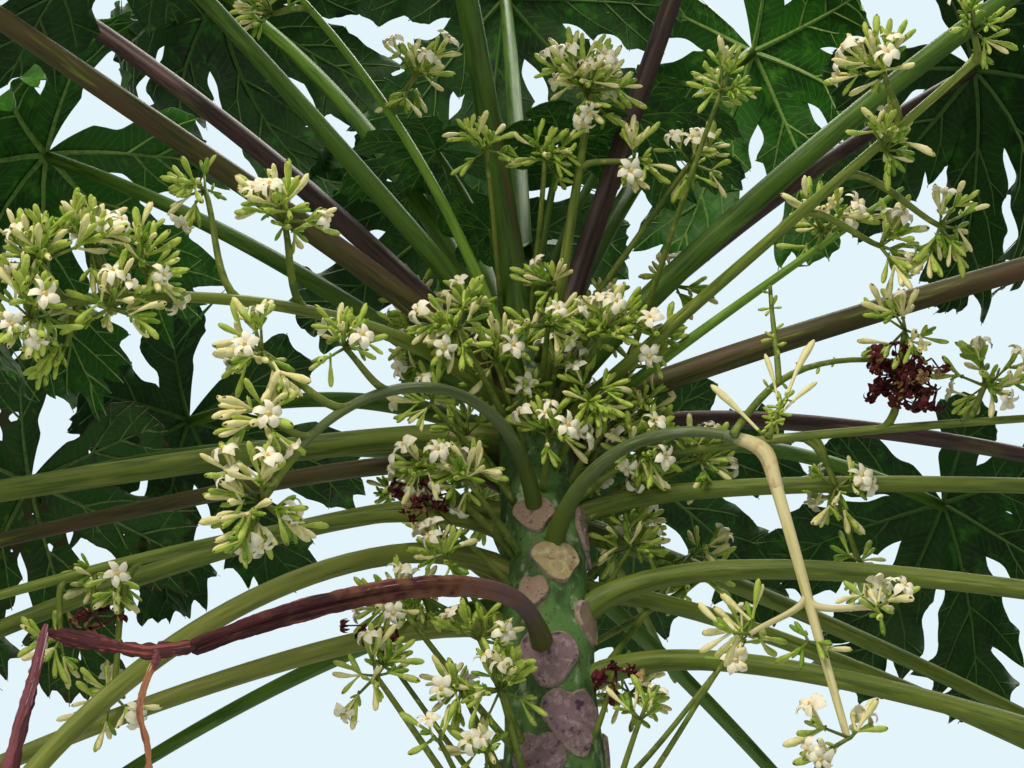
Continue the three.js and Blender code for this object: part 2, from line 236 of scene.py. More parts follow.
# Torn strips past the knot at the dead stalk's end: pixels, half width, and tone.
DEAD_STRIPS = [
    ([(196, 646), (150, 652), (100, 645), (46, 633)], 6, 0),
    ([(188, 652), (130, 650), (84, 636), (45, 631)], 4.4, 0),
    ([(46, 624), (34, 676), (18, 728), (2, 790)], 4.2, 1),
    ([(44, 634), (32, 700), (20, 745), (10, 800)], 2.8, 0),
    ([(160, 650), (144, 686), (138, 712), (148, 746), (150, 800)], 2.7, 2),
    ([(163, 641), (158, 652), (154, 668)], 3.5, 1),
]

# How many buds stand for each one in the tables above.
BUD_PLENTY = 2.3
# A head that stands further than this from its carrier gets a side branch.
BRANCH_FROM = 12
# Side branches leave the stem between two heights, and climb by a share of how far out they reach. The share
# grows between two rows of the photograph, because low on the stem they rise more steeply.
BRANCH_FEET = (1900, 2600)
CLIMB_ROWS = (480, 640)
CLIMB = (0.35, 0.75)

# Heads in the other leaf axils, all round the stem, by the spiral that the leaves follow. Their branches are
# short in front, where the photograph's own heads stand, and there are none in front below a height,
# because the leaves have fallen there.
AXIL_HEADS = 46
SPIRAL_TURN = 137.5
AXIL_TOP = 2590
AXIL_FOOT = 2210
FRONT = (190, 350)
BARE_FRONT = (215, 345)
BARE_BELOW = 2410

# Leaf scars that the photograph shows: pixel, width and height, finish.
SCARS = [
    (534, 514, 42, 40, "mauve_tan"),
    (556, 560, 50, 46, "tan"),
    (582, 530, 32, 50, "mauve_tan"),
    (549, 655, 58, 62, "mauve"),
    (573, 718, 60, 70, "mauve"),
    (588, 622, 42, 48, "mauve_tan"),
    (534, 590, 30, 34, "mauve_tan"),
    (600, 683, 34, 58, "mauve"),
    (538, 758, 54, 58, "mauve"),
]
# Depths in front of the camera between which their place on the stem is looked for.
STEM_REACH = (1300, 2300)
# The older scars follow the leaf spiral down the rest of the stem. None stands between the azimuths that
# the photograph sees, down to a margin below its lowest scar.
SCAR_TOP = 2380
SCAR_FOOT = 90
SCAR_SPACING = 26
SCARS_SEEN = (200, 340)
SCARS_SEEN_MARGIN = 40
# A scar's section from its middle to its rim: share of its half width, and height. Then how far the whole
# is lifted off the stem, and how deep it is set in.
SCAR_SECTION = [(0, 2.6), (0.25, 2.2), (0.5, 1.8), (0.76, 2.6), (0.9, 3.6), (0.99, 2.6), (1, 0.6)]
SCAR_LIFT = 1.2
SCAR_DEPTH = 5

# The stem's skin: its rings and sides, the height of its flutes and of the cushions under the scars, how much
# a cushion calms the flutes, how far below the tip the cushions fade out, and the wavy flare of the foot.
STEM_RINGS = 380
STEM_SIDES = 72
FLUTE_HEIGHT = 1.6
CUSHION_HEIGHT = 4.4
CUSHION_CALM = 0.85
CUSHION_FADE = 120
FLARE_HEIGHT = 140
FLARE_WAVES = 0.07

# Leaf blade: the main lobes by angle from the middle one and by share of its length, as in the CAD solid,
# then the side lobes by place along a main lobe, length as a share of it, and half width.
LOBES = [(-138, 0.6), (-92, 0.84), (-45, 0.96), (0, 1), (45, 0.96), (92, 0.84), (138, 0.6)]
SIDE_LOBES = [(0.32, 0.3, 26), (0.51, 0.44, 30), (0.7, 0.35, 25), (0.87, 0.15, 13)]
SIDE_ANGLE = 41
SIDE_CURVE = -20
# Lobes shorter than the first share carry no side lobe nearer to the hub than the second.
SHORT_LOBE = 0.7
BARE_SHARE = 0.4
# Side lobes shorter than the first share have no tooth. The others have one: its place along the side lobe,
# its angle to it and its length.
PLAIN_SIDE_LOBE = 0.2
TOOTH_AT = 0.42
TOOTH_ANGLE = 36
TOOTH_LENGTH = 0.4
# Widths in the tables above hold for a blade of this reach.
BLADE_SIZE = 320
# The palm, where the lobes are joined: half width of the blade round a main rib, and reach from the hub.
# There each lobe keeps to its sector, and laps its neighbours a little.
PALM_HALF_WIDTH = 46
PALM_REACH = 84
LOBE_SECTOR = math.radians(46.5)
LOBE_LAP = 1.5
# How softly the outline runs round the forks between ribs, the steps of the outline and of the inner points,
# how far the inner points are shifted at random, and the margin of the grid round the ribs.
WEB = 4.0
BLADE_GRID = 6.5
INNER_STEP = 19
INNER_SHIFT = 4
GRID_MARGIN = 45
BLADE_THICKNESS = 1.2
# Relief between the ribs: its height, how far from a rib it is full, and the spacing of the fine veins.
QUILT = 4.5
QUILT_WIDTH = 13
VEIN_SPACING = 11
# Thickness of a main rib, a side rib and a tooth's rib, at its foot and at its tip.
RIB_THICKNESS = [(3.7, 0.9), (1.8, 0.6), (0.9, 0.5)]

# The hanging stalk's joint and the dead stalk: share of the length, and swelling there.
JOINT_SWELL = [(0, 0.8), (0.25, 1.05), (0.5, 1.3), (0.75, 1.1), (1, 0.98)]
DEAD_SWELL = [(0, 1.2), (0.12, 0.86), (0.45, 0.82), (0.8, 0.76), (1, 0.55)]
DEAD_RINGS = 150
RAGGED_STEPS = 160

# Surroundings, in metres: the floor, and soft round lights that face the crown.
# Each light has its name, place, width, power and colour.
FLOOR_RADIUS = 9
CROWN = (0, 0, 2.5)
SOFT_LIGHTS = [
    ("front", (-1.6, -3.4, 4.4), 2.2, 150, "#fff4de"),
    ("above", (0.8, 1.2, 6.5), 3.6, 260, "#fbfaf0"),
    ("right", (3.6, -1.6, 3.6), 2.0, 45, "#fff8ea"),
]
SKY_LIGHT = 0.26


# Camera

def make_camera():
    camera = bpy.data.cameras.new("camera")
    camera.lens = CAMERA_LENS
    camera.sensor_width = SENSOR_WIDTH
    stand = bpy.data.objects.new("camera", camera)
    stand.location = Vector(CAMERA_PLACE) * MM
    stand.rotation_euler = (math.radians(90 + CAMERA_PITCH), 0, 0)
    bpy.context.collection.objects.link(stand)
    bpy.context.scene.camera = stand


make_camera()


def sight(u, v):
    """The direction from the camera through a pixel of the photograph."""
    pitch = math.radians(CAMERA_PITCH)
    focal = PHOTO_SIZE[0] * CAMERA_LENS / SENSOR_WIDTH
    forward = np.array([0, math.cos(pitch), math.sin(pitch)])
    up = np.array([0, -math.sin(pitch), math.cos(pitch)])
    right = np.array([1, 0, 0])
    return forward + right * (u - PHOTO_SIZE[0] / 2) / focal + up * (PHOTO_SIZE[1] / 2 - v) / focal


# Small helpers

def unit(vector):
    return vector / np.linalg.norm(vector)


def dice(*keys):
    """A seeded source of chance for one job, the same on every run."""
    return np.random.default_rng([SEED, *keys])


def direction(azimuth, elevation):
    a, e = math.radians(azimuth), math.radians(elevation)
    return np.array([math.cos(e) * math.cos(a), math.cos(e) * math.sin(a), math.sin(e)])


def any_direction(random):
    return unit(random.normal(size=3))


def between(value, limits):
    return limits[0] < value < limits[1]


def profile_at(profile, share):
    """The value of a profile of (share, value) rows at a share."""
    shares, values = zip(*profile)
    return np.interp(share, shares, values)


def linear(colour):
    """An sRGB hex colour as linear RGBA."""
    parts = [int(colour[i:i + 2], 16) / 255 for i in (1, 3, 5)]
    return [p / 12.92 if p <= 0.04045 else ((p + 0.055) / 1.055) ** 2.4 for p in parts] + [1]


# Materials

# What all the skins share: the refraction of plant wax, how much it mirrors, how strong its grain shows,
# and the noise that the layers, the worn edges and the wavy veins are drawn with.
WAX_IOR = 1.42
WAX_SPECULAR = 0.38
GRAIN_STRENGTH = 0.6
CLOUDS = {"Scale": 1, "Detail": 3, "Roughness": 0.6}
RAGGED = {"Scale": 60, "Detail": 4}
VEIN_WAVES = {"Scale": 28, "Detail": 2}
# Where an edge and a vein start and are full, and the most that a vein covers.
EDGE_FADE = (1.0, 0.3)
VEIN_FADE = (0.07, 0.02, 0.5)
# Sockets of a colour Mix node, for the colour below and the colour laid over it.
MIX_UNDER = 6
MIX_OVER = 7


def add_node(tree, kind, settings=None, links=None):
    """Adds a node with its settings, which are properties or inputs, and its links."""
    added = tree.nodes.new("ShaderNode" + kind)
    for name, value in (settings or {}).items():
        if isinstance(name, str) and hasattr(added, name):
            setattr(added, name, value)
        else:
            added.inputs[name].default_value = value
    for name, source in (links or {}).items():
        tree.links.new(source, added.inputs[name])
    return added


def place_node(tree, attribute):
    """Where a pattern lies: a piece's own attribute, or its Object coordinates."""
    if attribute:
        return add_node(tree, "Attribute", {"attribute_name": attribute}).outputs["Vector"]
    return add_node(tree, "TexCoord").outputs["Object"]


def laid_over(tree, colour, tone, share):
    """A tone mixed over a colour, which is a list at first and a socket later, by a share."""
    settings = {"data_type": "RGBA", MIX_OVER: linear(tone)}
    links = {0: share}
    given = settings if isinstance(colour, list) else links
    given[MIX_UNDER] = colour
    return add_node(tree, "Mix", settings, links).outputs[2]


def ranged(tree, value, low, high, most=1.0):
    """A value turned to a soft share: 0 at low, most at high."""
    settings = {"interpolation_type": "SMOOTHSTEP", 1: low, 2: high, 3: 0, 4: most}
    return add_node(tree, "MapRange", settings, {0: value}).outputs[0]


def skin(name, base, roughness, layers, bump=None, attribute=None, veins=None, edges=()):
    """A skin: a base colour under cloudy layers, with a fine grain, veins and edges where they are given.

    A layer is a tone, its size in mm, how many times longer it runs along a stalk than across, and the
    values of the cloud where it starts and where it is full. The grain is a size and a height in mm, the
    veins are one tone, and an edge is a tone and its width in mm, from a blade's margin or a stalk's foot.
    """
    material = bpy.data.materials.new(name)
    material.use_nodes = True
    tree = material.node_tree
    surface = tree.nodes["Principled BSDF"]
    place = place_node(tree, attribute)
    colour = linear(base)
    for tone, size, stretch, low, high in layers:
        scale = [1 / (s * size * MM) for s in (1, 1, stretch)]
        spread = add_node(tree, "Mapping", {"Scale": scale}, {"Vector": place})
        cloud = add_node(tree, "TexNoise", CLOUDS, {"Vector": spread.outputs[0]})
        colour = laid_over(tree, colour, tone, ranged(tree, cloud.outputs[0], low, high))
    if veins:
        colour = laid_over(tree, colour, veins, vein_share(tree, place))
    for tone, width in edges:
        depth = add_node(tree, "SeparateXYZ", None, {0: place}).outputs[2]
        ragged = add_node(tree, "TexNoise", RAGGED, {"Vector": place})
        reach = add_node(tree, "Math", {"operation": "MULTIPLY", 1: 2 * width * MM}, {0: ragged.outputs[0]})
        inside = add_node(tree, "Math", {"operation": "DIVIDE"}, {0: depth, 1: reach.outputs[0]})
        colour = laid_over(tree, colour, tone, ranged(tree, inside.outputs[0], *EDGE_FADE))
    tree.links.new(colour, surface.inputs["Base Color"])
    surface.inputs["Roughness"].default_value = roughness
    surface.inputs["IOR"].default_value = WAX_IOR
    surface.inputs["Specular IOR Level"].default_value = WAX_SPECULAR
    if bump:
        size, height = bump
        grain = add_node(tree, "TexNoise", {"Scale": 1 / (size * MM), "Detail": 2}, {"Vector": place})
        relief = {"Strength": GRAIN_STRENGTH, "Distance": height * MM}
        raised = add_node(tree, "Bump", relief, {"Height": grain.outputs[0]})
        tree.links.new(raised.outputs[0], surface.inputs["Normal"])
    return material


def skins(prefix, bump, attribute, rows):
    """Skins of one kind by name. A row has a base colour, roughness and layers, then any veins and edges."""
    family = {}
    for name, (base, roughness, layers, *marks) in rows.items():
        family[name] = skin(f"{prefix}_{name}", base, roughness, layers, bump, attribute, *marks)
    return family


def vein_share(tree, place):
    """Thin lines across the strips beside each rib, a little wavy."""
    strips = add_node(tree, "Attribute", {"attribute_name": "veins"})
    run = add_node(tree, "SeparateXYZ", None, {0: strips.outputs["Vector"]}).outputs[0]
    wave = add_node(tree, "TexNoise", VEIN_WAVES, {"Vector": place})
    moved = add_node(tree, "Math", {"operation": "ADD"}, {0: run, 1: wave.outputs[0]})
    line = add_node(tree, "Math", {"operation": "PINGPONG", 1: 0.5}, {0: moved.outputs[0]})
    return ranged(tree, line.outputs[0], *VEIN_FADE)


# Leaf stalk: smooth, juicy and waxed, so it is satin, with long faint streaks where its strands run.
STALK_FINISHES = skins("leaf_stalk", (2, 0.25), "straight", {
    "green": ("#4c6e22", 0.5, [
        ("#345418", 5, 14, 0.45, 0.65), ("#658638", 9, 14, 0.56, 0.74), ("#565428", 60, 4, 0.56, 0.8),
    ]),
    "striped": ("#47681f", 0.5, [("#30501a", 5, 14, 0.45, 0.65), ("#5b4838", 16, 40, 0.58, 0.68)]),
    "purple": ("#4d393a", 0.48, [
        ("#2f2428", 5, 14, 0.45, 0.65), ("#6d6a3c", 40, 5, 0.52, 0.72), ("#7d6872", 8, 14, 0.6, 0.76),
    ]),
    "brown": ("#4f4a26", 0.5, [
        ("#33371a", 5, 14, 0.45, 0.65), ("#5a4034", 34, 6, 0.48, 0.66), ("#75803a", 7, 14, 0.58, 0.74),
    ]),
    "olive": ("#64762a", 0.52, [
        ("#475c22", 5, 14, 0.45, 0.66), ("#87914a", 9, 14, 0.56, 0.74), ("#6e6038", 50, 5, 0.58, 0.76),
    ]),
    "yellow": ("#78833a", 0.5, [
        ("#5f6e2c", 6, 14, 0.45, 0.66), ("#9a9858", 9, 14, 0.56, 0.74), ("#6a3526", 40, 4, 0.6, 0.7),
    ]),
})

# Leaf blade from below: matt, with paler veins, and darker than from above as painted shade, since it faces
# down from the light. Its dark skin is darker still as painted shade in the crown, and its bright skin
# lightened as painted light. Specked and old blades carry dark dots and dry brown margins.
UNDERSIDES = skins("leaf_underside", (3, 0.4), "flat", {
    "dark": ("#163f0c", 0.62, [("#0c2908", 60, 1, 0.45, 0.7), ("#2a6416", 34, 1, 0.55, 0.75)], "#3a642a"),
    "painted_light": ("#276014", 0.5, [("#17400f", 50, 1, 0.45, 0.7), ("#428020", 30, 1, 0.55, 0.75)], "#619040"),
    "specked": ("#285418", 0.6, [
        ("#1c3a14", 60, 1, 0.45, 0.7), ("#53742a", 30, 1, 0.58, 0.75), ("#12140c", 3.2, 1, 0.64, 0.7),
    ], "#4a7032", [("#3a3a1a", 3)]),
    "old": ("#5f7a26", 0.62, [
        ("#35561c", 70, 1, 0.45, 0.6), ("#a0a030", 40, 1, 0.52, 0.7), ("#3a2a14", 3.4, 1, 0.64, 0.7),
    ], "#93a050", [("#5a3a1c", 7)]),
})

# Leaf blade from above: a waxed skin, glossier and a fuller green than the underside. Its dark skin is
# darkened as painted shade and its bright skin lightened as painted light.
TOPS = skins("leaf_top", (3, 0.4), "flat", {
    "dark": ("#2f5a1c", 0.42, [("#1f4415", 60, 1, 0.45, 0.7), ("#427a26", 30, 1, 0.55, 0.75)], "#6b9148"),
    "painted_light": ("#3f7a22", 0.42, [("#2c5f1a", 50, 1, 0.45, 0.7), ("#5b9a34", 30, 1, 0.55, 0.75)], "#86ad58"),
    "specked": ("#3a5f20", 0.5, [
        ("#284a18", 60, 1, 0.45, 0.7), ("#64802e", 30, 1, 0.58, 0.75), ("#15180c", 3.2, 1, 0.64, 0.7),
    ], "#7f9a54", [("#4a4520", 4)]),
    "old": ("#75882c", 0.55, [
        ("#45661f", 70, 1, 0.45, 0.6), ("#b5ab3a", 40, 1, 0.5, 0.7), ("#3a2a14", 3.4, 1, 0.64, 0.7),
    ], "#a8ad62", [("#6a441f", 8)]),
})

# Leaf ribs: the same strands as the stalk, pale and smooth. The dark ribs are darkened as painted shade and
# the bright ones lightened as painted light.
RIBS = skins("leaf_rib", None, "flat", {
    "dark": ("#44692e", 0.45, [("#3a5a28", 8, 1, 0.45, 0.65)]),
    "painted_light": ("#7da052", 0.45, [("#5f8640", 8, 1, 0.45, 0.65)]),
    "specked": ("#69854a", 0.5, [("#4d6634", 8, 1, 0.45, 0.65)]),
    "old": ("#a5a65e", 0.5, [("#857a40", 8, 1, 0.45, 0.65)]),
})

# Stem: a green herbaceous skin with a pale waxy bloom and grey-brown patches.
STEM_SKIN = skin("stem_skin", "#547a42", 0.62, [
    ("#35502a", 26, 1.6, 0.42, 0.62), ("#8fa383", 14, 1.3, 0.54, 0.7), ("#6f6a48", 40, 2, 0.58, 0.72),
    ("#23361f", 5, 1, 0.6, 0.72),
], (2.4, 0.8))

# Leaf scar: a dry corky pad, matt, mauve-grey or tan with dark blotches, and a pale rim of cork.
SCAR_FINISHES = skins("leaf_scar", (1.2, 0.9), None, {
    "mauve": ("#806a74", 0.8, [
        ("#9b8790", 9, 1, 0.5, 0.65), ("#4b3650", 13, 1, 0.54, 0.66), ("#5d4a44", 3, 1, 0.58, 0.68),
    ]),
    "tan": ("#a29370", 0.8, [
        ("#b7ab8c", 9, 1, 0.5, 0.65), ("#86705a", 8, 1, 0.55, 0.68), ("#6b5648", 2.5, 1, 0.6, 0.7),
    ]),
    "mauve_tan": ("#947f72", 0.8, [
        ("#ab9a86", 9, 1, 0.5, 0.65), ("#6e5a62", 9, 1, 0.55, 0.67), ("#5d4a40", 2.5, 1, 0.6, 0.7),
    ]),
})
SCAR_RIM = skin("leaf_scar_rim", "#a0908a", 0.8, [("#7d6a70", 7, 1, 0.46, 0.62)], (1.2, 0.4))

# Flower stalk: like a leaf stalk but finer, satin, bright green when young and grey-green where it arches.
FLOWER_STALK_FINISHES = skins("flower_stalk", (1.6, 0.2), "straight", {
    "fresh": ("#6f9433", 0.4, [("#547a26", 4, 14, 0.45, 0.66), ("#97b058", 7, 14, 0.56, 0.74)]),
    "olive": ("#6f8234", 0.42, [
        ("#526528", 4, 14, 0.45, 0.66), ("#a3a85a", 7, 14, 0.56, 0.74), ("#7a6a44", 40, 4, 0.6, 0.76),
    ]),
    "grey": ("#5c6b48", 0.46, [
        ("#485a2c", 6, 14, 0.45, 0.62), ("#84907a", 7, 14, 0.56, 0.74), ("#616f34", 50, 3, 0.5, 0.66),
    ], None, [("#4d5f22", 110)]),
    "pale": ("#cfc79a", 0.48, [
        ("#b3b070", 5, 14, 0.45, 0.66), ("#ddd6b4", 8, 14, 0.54, 0.72), ("#a98a5a", 30, 3, 0.6, 0.74),
    ]),
})

# The hanging stalk's joint: grey-green where it comes in, turning pinkish tan and pale as it dries.
JOINT_SKIN = skin("flower_stalk_joint", "#cfc598", 0.5, [
    ("#a9a070", 5, 14, 0.45, 0.66), ("#b98f74", 16, 1, 0.5, 0.68), ("#dccfae", 6, 14, 0.58, 0.72),
], (1.6, 0.3), "straight", None, [("#66755a", 26)])

# Dried leaf stalk: dead strands shrunk to ridges, matt. It is still greenish at its foot, then grey-violet,
# ochre and maroon, and its torn strips are violet and tan.
DRIED_SKINS = list(skins("dried_stalk", (1.2, 0.5), "straight", {
    "maroon": ("#4a1e26", 0.72, [
        ("#260d13", 2.5, 24, 0.44, 0.6), ("#8c4a46", 3, 30, 0.58, 0.68), ("#6a3a30", 30, 3, 0.54, 0.7),
        ("#b78c80", 2, 40, 0.66, 0.74),
    ], None, [("#7b5238", 400), ("#64505a", 250), ("#59592f", 85)]),
    "violet": ("#7c4450", 0.7, [("#4a1e2a", 2, 40, 0.46, 0.6), ("#b494a6", 2, 40, 0.56, 0.68)]),
    "tan": ("#94664a", 0.75, [("#6f4230", 3, 9, 0.5, 0.62), ("#cbae8c", 2.5, 16, 0.55, 0.68)]),
}).values())

# Buds: smooth waxy skins, pale satin, green when small and cream when ready to open, each in a green calyx
# and with a dark speck at its tip.
BUD_SKINS = list(skins("bud", None, None, {
    "green": ("#7fa233", 0.5, [("#5f8824", 12, 1, 0.45, 0.65), ("#a2be55", 7, 1, 0.56, 0.7)]),
    "yellow_green": ("#adc257", 0.5, [("#8fab3c", 12, 1, 0.45, 0.65), ("#cdd68a", 7, 1, 0.56, 0.7)]),
    "cream": ("#e9e3ac", 0.5, [("#d2d284", 12, 1, 0.48, 0.66), ("#f4efcc", 7, 1, 0.56, 0.7)]),
    "calyx": ("#7a9c22", 0.5, [("#5c821a", 8, 1, 0.45, 0.65)]),
    "tip_speck": ("#6b4a2a", 0.6, [("#3f2a1a", 2, 1, 0.45, 0.65)]),
}).values())

# Flowers: soft matt petals of a warm white round a yellow throat, on tubes of the buds' cream and green.
FLOWER_SKINS = [
    skin("petal_white", "#f6f3e4", 0.5, [("#ebe6c6", 6, 1, 0.5, 0.7)]),
    skin("flower_throat_yellow", "#efd07a", 0.5, [("#e6b85a", 2, 1, 0.45, 0.65)]),
    BUD_SKINS[2],
    BUD_SKINS[3],
]

# Withered blossom: dry and matt, maroon with tan bits, for the same four parts as a flower's skins.
WITHERED_SKINS = [
    skin("blossom_withered", "#561522", 0.7, [("#300a12", 5, 1, 0.45, 0.65), ("#83382e", 4, 1, 0.6, 0.72)]),
    skin("blossom_withered_tip", "#b39a6c", 0.75, [("#7a5a38", 4, 1, 0.45, 0.65)]),
] * 2

# Twigs and side branches: satin and olive green like the flower stalks, a little duller.
TWIG_SKIN = skin("flower_twig", "#6c7c33", 0.55, [
    ("#4c6424", 18, 1, 0.45, 0.65), ("#8c964e", 12, 1, 0.56, 0.7),
])


# Lines of the plant, in millimetres

def stem_lean(height):
    """How far along X the stem's axis stands from its foot at a height."""
    return -STEM_LEAN * (height / STEM_HEIGHT) ** 2


def stem_axis(height):
    return np.array([stem_lean(height), 0, height])


def stem_radius(height):
    return profile_at(STEM_PROFILE, height)


def on_stem(height, azimuth, lift):
    """The point at a height and azimuth on the stem, lifted off its surface."""
    return stem_axis(height) + direction(azimuth, 0) * (stem_radius(height) + lift)


def followed(start, azimuth_at, elevation_at, length, steps=LINE_STEPS):
    """A line that follows an azimuth and an elevation that change along it."""
    points = [start]
    stride = length / steps
    for step in range(steps):
        reach = (step + 0.5) * stride
        points.append(points[-1] + direction(azimuth_at(reach), elevation_at(reach)) * stride)
    return np.array(points)


def stalk_line(drop, azimuth, sway, rise, bend, lift, length):
    """The line of a stalk that leaves the stem at a drop below its tip."""
    height = STEM_HEIGHT - drop
    start = direction(azimuth, 0) * max(stem_radius(height) - FOOT_DEPTH, 0) + stem_axis(height)
    return followed(
        start,
        lambda reach: azimuth + sway * reach / length,
        lambda reach: rise + lift * math.exp(-reach / LIFT_LENGTH) - bend * reach / length,
        length,
    )


def reaches(line):
    """The distance along a line at each of its points."""
    return np.concatenate([[0], np.cumsum(np.linalg.norm(np.diff(line, axis=0), axis=1))])


def curve(start, first, last, end, steps):
    """A Bezier curve's points."""
    t = np.linspace(0, 1, steps + 1)[:, None]
    return (1 - t) ** 3 * start + 3 * t * (1 - t) ** 2 * first + 3 * t * t * (1 - t) * last + t ** 3 * end


def through(points, steps=40):
    """A soft line through points."""
    points = np.array(points, float)
    along = reaches(points)
    places = np.linspace(0, along[-1], steps)
    line = np.column_stack([np.interp(places, along, points[:, k]) for k in range(3)])
    for _ in range(8):
        line[1:-1] = (line[:-2] + 2 * line[1:-1] + line[2:]) / 4
    return line


def on_plane(u, v, y):
    """The point that a pixel shows on an upright plane at a y."""
    ray = sight(u, v)
    return np.array(CAMERA_PLACE) + ray * (y - CAMERA_PLACE[1]) / ray[1]


def foot_radius(radius, taper, swell=FOOT_SWELL):
    """Radius along a stalk, thicker at its foot, by reach and by share of the length."""
    def radius_at(reach, share):
        foot = 1 + (swell - 1) * np.exp(-(reach / FOOT_LENGTH) ** 2)
        return radius * foot * (1 + (taper - 1) * share)
    return radius_at


# Making pieces

def object_from(mesh, name, materials, replaced=()):
    for material in materials:
        mesh.materials.append(material)
    piece = bpy.data.objects.new(name, mesh)
    bpy.context.collection.objects.link(piece)
    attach(piece, "root")
    if replaced:
        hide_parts(*replaced)
    return piece


def shape_of(bm):
    """A shape as arrays: corners, corner numbers of its faces, their sizes and materials."""
    bmesh.ops.recalc_face_normals(bm, faces=bm.faces)
    bm.verts.index_update()
    corners = np.array([vert.co[:] for vert in bm.verts])
    loops = np.array([vert.index for face in bm.faces for vert in face.verts])
    sizes = np.array([len(face.verts) for face in bm.faces])
    tones = np.array([face.material_index for face in bm.faces])
    bm.free()
    return corners, loops, sizes, tones


def mesh_from(name, parts, smooth_angle=None):
    """One mesh from parts in millimetres: each has corners, face corners, face sizes and materials."""
    counts = np.cumsum([0] + [len(part[0]) for part in parts])
    corners = np.concatenate([part[0] for part in parts]) * MM
    loops = np.concatenate([part[1] + count for part, count in zip(parts, counts)])
    sizes = np.concatenate([part[2] for part in parts])
    tones = np.concatenate([part[3] for part in parts])
    mesh = bpy.data.meshes.new(name)
    mesh.vertices.add(len(corners))
    mesh.vertices.foreach_set("co", corners.ravel())
    mesh.loops.add(len(loops))
    mesh.loops.foreach_set("vertex_index", loops.astype(np.int32))
    mesh.polygons.add(len(sizes))
    starts = np.concatenate([[0], np.cumsum(sizes)[:-1]])
    mesh.polygons.foreach_set("loop_start", starts.astype(np.int32))
    mesh.polygons.foreach_set("material_index", tones.astype(np.int32))
    mesh.polygons.foreach_set("use_smooth", np.ones(len(sizes), bool))
    mesh.update(calc_edges=True)
    if smooth_angle:
        mesh.set_sharp_from_angle(angle=math.radians(smooth_angle))
    return mesh


def keep_places(mesh, attribute, values, domain="POINT"):
    """Stores a place for each point or face corner, which a material reads."""
    kept = mesh.attributes.new(attribute, "FLOAT_VECTOR", domain)
    kept.data.foreach_set("vector", np.asarray(values, dtype=np.float32).ravel())


TUBES = {}


def tube(sides, rings):
    """A closed tube of radius 1 with level rings numbered from 0 up its Z axis, made once for each size."""
    if (sides, rings) not in TUBES:
        bm = bmesh.new()
        bmesh.ops.create_cone(bm, cap_ends=True, segments=sides, radius1=1, radius2=1, depth=2)
        if rings > 2:
            uprights = [e for e in bm.edges if abs(e.verts[0].co.z - e.verts[1].co.z) > 1]
            bmesh.ops.subdivide_edges(bm, edges=uprights, cuts=rings - 2, use_grid_fill=True)
        for vert in bm.verts:
            vert.co.z = round((vert.co.z + 1) / 2 * (rings - 1))
        TUBES[sides, rings] = shape_of(bm)
    return TUBES[sides, rings]


def rail_frames(line, level):
    """At each point of a line: its side, which is square to a level direction, and its up."""
    ahead = np.gradient(line, axis=0)
    ahead /= np.linalg.norm(ahead, axis=1)[:, None]
    side = np.cross(level, ahead)
    side /= np.maximum(np.linalg.norm(side, axis=1), 1e-6)[:, None]
    return side, np.cross(ahead, side)


def tube_along(line, radii, sides, ripple=None, tone=0, flat=1, twist=0, level=(0, 0, 1)):
    """A tube laid round a line, flattened and twisted, and its corners' places round a straight line."""
    corners, loops, sizes, tones = tube(sides, len(line))
    ring = corners[:, 2].astype(int)
    turn = np.arctan2(corners[:, 1], corners[:, 0])
    side, up = rail_frames(line, level)
    thick = np.asarray(radii)[ring]
    if ripple is not None:
        thick = thick * ripple(ring / (len(line) - 1), turn)
    wide, thin = np.cos(turn) * thick, np.sin(turn) * thick * flat
    spin = twist * ring / (len(line) - 1)
    across = wide * np.cos(spin) - thin * np.sin(spin)
    high = wide * np.sin(spin) + thin * np.cos(spin)
    placed = line[ring] + side[ring] * across[:, None] + up[ring] * high[:, None]
    return (placed, loops, sizes, tones + tone), np.column_stack([across, high, reaches(line)[ring]])


def limb(name, line, radius_at, sides, material, replaced=(), ripple=None):
    """A tapering limb round a line, with its straightened place kept for the material."""
    along = reaches(line)
    radii = radius_at(along, along / along[-1])
    radii[-1] *= 0.6
    part, straight = tube_along(line, radii, sides, ripple)
    mesh = mesh_from(name, [part], 60)
    keep_places(mesh, "straight", straight * MM)
    return object_from(mesh, name, [material], replaced)


# Stem

def scar_places():
    """Each leaf scar as (height, azimuth, width, height of the pad, finish)."""
    places = []
    for u, v, width, tall, finish in SCARS:
        ray = sight(u, v)
        # The ray meets the stem where it first comes within the stem's radius of its axis.
        for reach in np.arange(*STEM_REACH):
            point = np.array(CAMERA_PLACE) + ray * reach
            off = point - stem_axis(point[2])
            if math.hypot(off[0], off[1]) <= stem_radius(point[2]):
                break
        places.append((point[2], math.degrees(math.atan2(off[1], off[0])), width, tall, finish))
    random = dice(1)
    lowest = min(place[0] for place in places)
    height, turns = SCAR_TOP, 0
    while height > SCAR_FOOT:
        azimuth = (turns * SPIRAL_TURN + random.uniform(-6, 6)) % 360
        in_photo = height > lowest - SCARS_SEEN_MARGIN and between(azimuth, SCARS_SEEN)
        if not in_photo:
            width = random.uniform(40, 54)
            tall = width * random.uniform(0.85, 1.1)
            places.append((height, azimuth, width, tall, "tan" if turns % 3 else "mauve"))
        height -= SCAR_SPACING
        turns += 1
    return places


